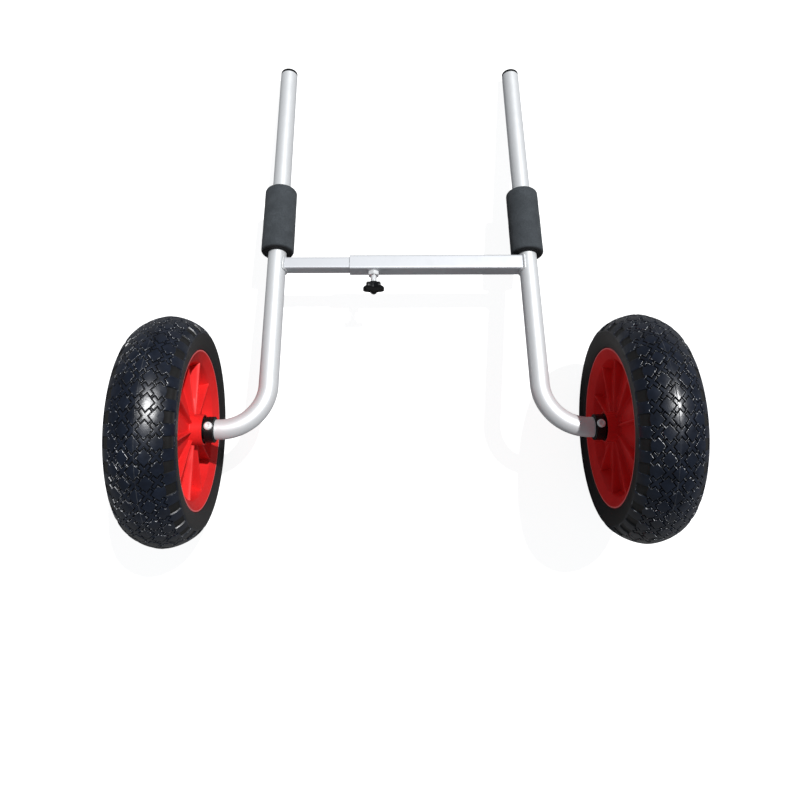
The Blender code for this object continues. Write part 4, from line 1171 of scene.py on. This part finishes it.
# The tread is a staggered lattice of diamond blocks. Where their corners meet, a cross stands
# in a narrow moat. Each cell holds one cross, with a grid of lines (p, q) along its arms.
cell = math.hypot(tyre["rowStep"], math.pi * tyre["radius"] / tyre["count"]) / 2
armHalf, armReach = tyre["armHalf"] / cell, tyre["armReach"] / cell
grooveWall, island = tyre["wall"] / cell, (2 * tyre["wall"] + tyre["moat"]) / cell
islandTop = island + tyre["islandBevel"] / cell
treadLevels = [(islandTop, tyre["islandDrop"]), (island, tyre["islandDrop"] + tyre["edgeDrop"]),
               (grooveWall, tyre["moatDepth"]), (0.0, tyre["edgeDrop"])]


def treadLines():
    insets = [islandTop, island, island - grooveWall, grooveWall, 0.0]
    positive = [armHalf - inset for inset in insets] + [armHalf + tyre["bevel"] / cell]
    positive += [armReach - inset for inset in insets] + [1.0]
    return [-v for v in reversed(positive)] + positive


def sunk(p, q):
    near, far = sorted((abs(p), abs(q)))
    inset = min(armHalf - near, armReach - far)
    for reach, drop in treadLevels:
        if inset >= reach - 1e-6:
            return drop
    return 0.0


# Columns beside a pocket are drawn together, so that its side walls stand steep
def drawnColumn(offset):
    half, (near, far) = shoulder["halfWidth"], shoulder["plainColumns"]
    knots = [(0.0, 0.0), (near, near)] + [(at, half + aside) for at, aside in shoulder["wallColumns"]]
    knots += [(far, far), (1.0, 1.0)]
    for (low, lowTo), (high, highTo) in zip(knots, knots[1:]):
        if abs(offset) <= high:
            share = (abs(offset) - low) / (high - low)
            return math.copysign(lowTo + (highTo - lowTo) * share, offset)


# The shoulder at one column, as (row, drop), from the lattice's zigzag edge up to the waist
def shoulderRise(offset):
    size, half, deep = abs(drawnColumn(offset)), shoulder["halfWidth"], shoulder["pocketDepth"]
    start, (pocketStart, pocketMiddle) = 2 + abs(offset), shoulder["pocketRows"]
    pocketEnd, end = shoulder["pocketEnd"] / tyre["rowStep"], shoulder["end"] / tyre["rowStep"]
    if size < half:
        edge = shoulder["blockEnd"] - shoulder["blockCurve"] * (size / half) ** 2
        return [(edge - shoulder["blockRound"], 0.0), (edge, tyre["edgeDrop"]),
                (edge + shoulder["wall"], deep), (pocketStart, deep), (pocketMiddle, deep),
                (pocketEnd, shoulder["pocketEndShare"] * deep), (end, 0.0)]
    drop = tyre["edgeDrop"] if size < half + shoulder["armEdge"] else 0.0
    rows = [start + (pocketStart - start) * share for share in shoulder["armShares"]]
    return [(row, drop) for row in (*rows, pocketStart, pocketMiddle, pocketEnd)] + [(end, 0.0)]


def addTreadVert(bm, row, column, drop):
    here, outward = crownSpot(row * tyre["rowStep"])
    u, radius = here - drop * outward
    angle = math.tau * column / columns
    vert = bm.verts.new((u, radius * math.cos(angle), radius * math.sin(angle)))
    vert[bm.verts.layers.float["grooveDepth"]] = min(1.0, drop / tyre["moatDepth"])
    return vert


def joinRings(bm, rings):
    for first, second in zip(rings, rings[1:]):
        for i in range(len(first)):
            j = (i + 1) % len(first)
            bm.faces.new((first[i], first[j], second[j], second[i]))


# Gives back the same vertex wherever two cells meet
def sharedSpots(bm):
    made = {}

    def spot(row, column, drop):
        key = (round(row * 5000), round((column % columns) * 5000) % (columns * 5000))
        if key not in made:
            made[key] = addTreadVert(bm, row, column, drop)
        return made[key]

    return spot


def addBlocks(bm, spot, lines):
    for row in range(-tyre["rows"], tyre["rows"] + 1):
        for node in range(row % 2, columns, 2):
            grid = [[spot(row + (p + q) / 2, node + (p - q) / 2, sunk(p, q)) for q in lines]
                    for p in lines]
            for low, high in zip(grid, grid[1:]):
                for j in range(len(lines) - 1):
                    bm.faces.new((low[j], high[j], high[j + 1], low[j + 1]))


# The lattice ends in a zigzag, held as (column of a block's middle, offset from it)
def zigzagEdge(lines):
    shares = [(1 + v) / 2 for v in lines[:-1]]
    zigzag = []
    for node in range(0, columns, 2):
        zigzag += [(node - 1, share) for share in shares] + [(node + 1, share - 1) for share in shares]
    return zigzag


def addSideRing(bm, drawn, u, radius):
    ring = []
    for column in drawn:
        angle = math.tau * column / columns
        ring.append(bm.verts.new((u, radius * math.cos(angle), radius * math.sin(angle))))
        ring[-1][bm.verts.layers.float["sideWall"]] = 1.0
    return ring


# One side of the tyre, from the zigzag over the shoulder and down the side wall to the bead
def addFlank(bm, spot, zigzag, drawn, way):
    depthLayer = bm.verts.layers.float["grooveDepth"]
    rises = [shoulderRise(offset) for middle, offset in zigzag]
    rings = [[spot(way * (2 + abs(offset)), middle + offset, 0.0) for middle, offset in zigzag]]
    for k in range(len(rises[0])):
        ring = []
        for column, rise in zip(drawn, rises):
            row, drop = rise[k]
            ring.append(addTreadVert(bm, way * row, column, drop))
            if drop <= tyre["edgeDrop"]:
                ring[-1][depthLayer] = 0.0
        rings.append(ring)
    rings += [addSideRing(bm, drawn, way * u, radius) for u, radius in tyre["flank"]]
    joinRings(bm, rings)
    return rings[-1]


def addTyre(prefix, side):
    bm = bmesh.new()
    for name in ("grooveDepth", "sideWall"):
        bm.verts.layers.float.new(name)
    lines, spot = treadLines(), sharedSpots(bm)
    addBlocks(bm, spot, lines)
    zigzag = zigzagEdge(lines)
    drawn = [middle + drawnColumn(offset) for middle, offset in zigzag]
    beads = [addFlank(bm, spot, zigzag, drawn, way) for way in (1, -1)]
    bore = [addSideRing(bm, drawn, u, radius) for u, radius in barrelOutside(rim["wall"] + touchGap)]
    joinRings(bm, [beads[0], *bore, beads[1]])
    piece = addPiece(prefix + "Tyre", bm, wheelPlace(side, tyre["turn"][side]), tyreRubber,
                     prefix + "_wheel", 180)
    shadeByArea(piece.data)


# Large faces lead the shading, so that the blocks stay flat up to their edges
def shadeByArea(mesh):
    normals = [Vector((0, 0, 0)) for vert in mesh.vertices]
    for face in mesh.polygons:
        for index in face.vertices:
            normals[index] += face.normal * face.area
    mesh.normals_split_custom_set_from_vertices([normal.normalized() for normal in normals])


for prefix, side in bothSides:
    addRim(prefix, side)
    addTyre(prefix, side)
print("wheels made")


# Floor, light and camera
floor = {"size": 12.0, "drop": 0.0002, "colour": (0.40, 0.40, 0.40), "second": (0.37, 0.37, 0.375),
         "inGloss": (0.12, 0.12, 0.12), "glow": 0.89,
         "shader": {"Roughness": 0.7, "Emission Color": (1.0, 1.0, 1.0, 1.0)},
         "grain": {"Grain Scale": 300.0, "Cloud Scale": 3.0}}


# The floor glows for the camera alone, and is dimmer in reflections
def addFloor():
    stuff = startMaterial("paleFloor", floor)
    tree, ends = stuff.tree, stuff.shader.inputs
    path = addNode(tree, "ShaderNodeLightPath").outputs
    colour = mixColours(tree, path["Is Glossy Ray"], stuff.colour, floor["inGloss"])
    feed(tree, ends["Base Color"], colour)
    glow = addRange(tree, path["Is Camera Ray"], 0.0, 1.0, 0.0, floor["glow"])
    feed(tree, ends["Emission Strength"], glow)
    arrangeNodes(tree)
    half = floor["size"] / 2
    bm = bmesh.new()
    square = ((-half, -half, 0), (half, -half, 0), (half, half, 0), (-half, half, 0))
    bm.faces.new([bm.verts.new(point) for point in square])
    piece = addObject("floor", bm)
    piece.data.materials.append(stuff.material)
    piece.location.z = -floor["drop"]


light = {"fromSun": (0.31, 0.295, 0.903), "strength": 3.8, "softness": 1.2, "sky": 0.26,
         "skyInGloss": 0.12, "skyColour": (0.88, 0.94, 1.0), "skySeen": 1.15}


# One sun and a weak bluish sky, which the camera sees as white
def addLight():
    lamp = bpy.data.lights.new("keyLight", "SUN")
    lamp.energy = light["strength"]
    lamp.angle = math.radians(light["softness"])
    key = bpy.data.objects.new("keyLight", lamp)
    key.rotation_euler = Vector(light["fromSun"]).to_track_quat("Z", "Y").to_euler()
    bpy.context.scene.collection.objects.link(key)
    world = bpy.data.worlds.new("studio")
    world.use_nodes = True
    tree = world.node_tree
    path = addNode(tree, "ShaderNodeLightPath").outputs
    unseen = addRange(tree, path["Is Glossy Ray"], 0.0, 1.0, light["sky"], light["skyInGloss"])
    strength = addRange(tree, path["Is Camera Ray"], 0.0, 1.0, unseen, light["skySeen"])
    feed(tree, tree.nodes["Background"].inputs["Color"], light["skyColour"])
    feed(tree, tree.nodes["Background"].inputs["Strength"], strength)
    arrangeNodes(tree)
    bpy.context.scene.world = world
    bpy.context.scene.view_settings.view_transform = "Standard"


camera = {"place": (-0.0224, -0.2640, 1.0287), "right": (0.99982, -0.00807, 0.01726),
          "up": (0.00462, 0.98149, 0.19151), "lens": 32.04, "sensor": 36, "shiftY": -0.0829,
          "nearest": 0.01}


def addCamera():
    lens = bpy.data.cameras.new("camera")
    lens.lens = camera["lens"]
    lens.sensor_width = camera["sensor"]
    lens.sensor_fit = "HORIZONTAL"
    lens.shift_y = camera["shiftY"]
    lens.clip_start = camera["nearest"]
    view = bpy.data.objects.new("camera", lens)
    right = Vector(camera["right"]).normalized()
    up = Vector(camera["up"])
    up = (up - right * up.dot(right)).normalized()
    axes = Matrix((right, up, right.cross(up))).transposed()
    view.matrix_world = Matrix.Translation(camera["place"]) @ axes.to_4x4()
    bpy.context.scene.collection.objects.link(view)
    bpy.context.scene.camera = view


addFloor()
addLight()
addCamera()
print("floor, light and camera set")
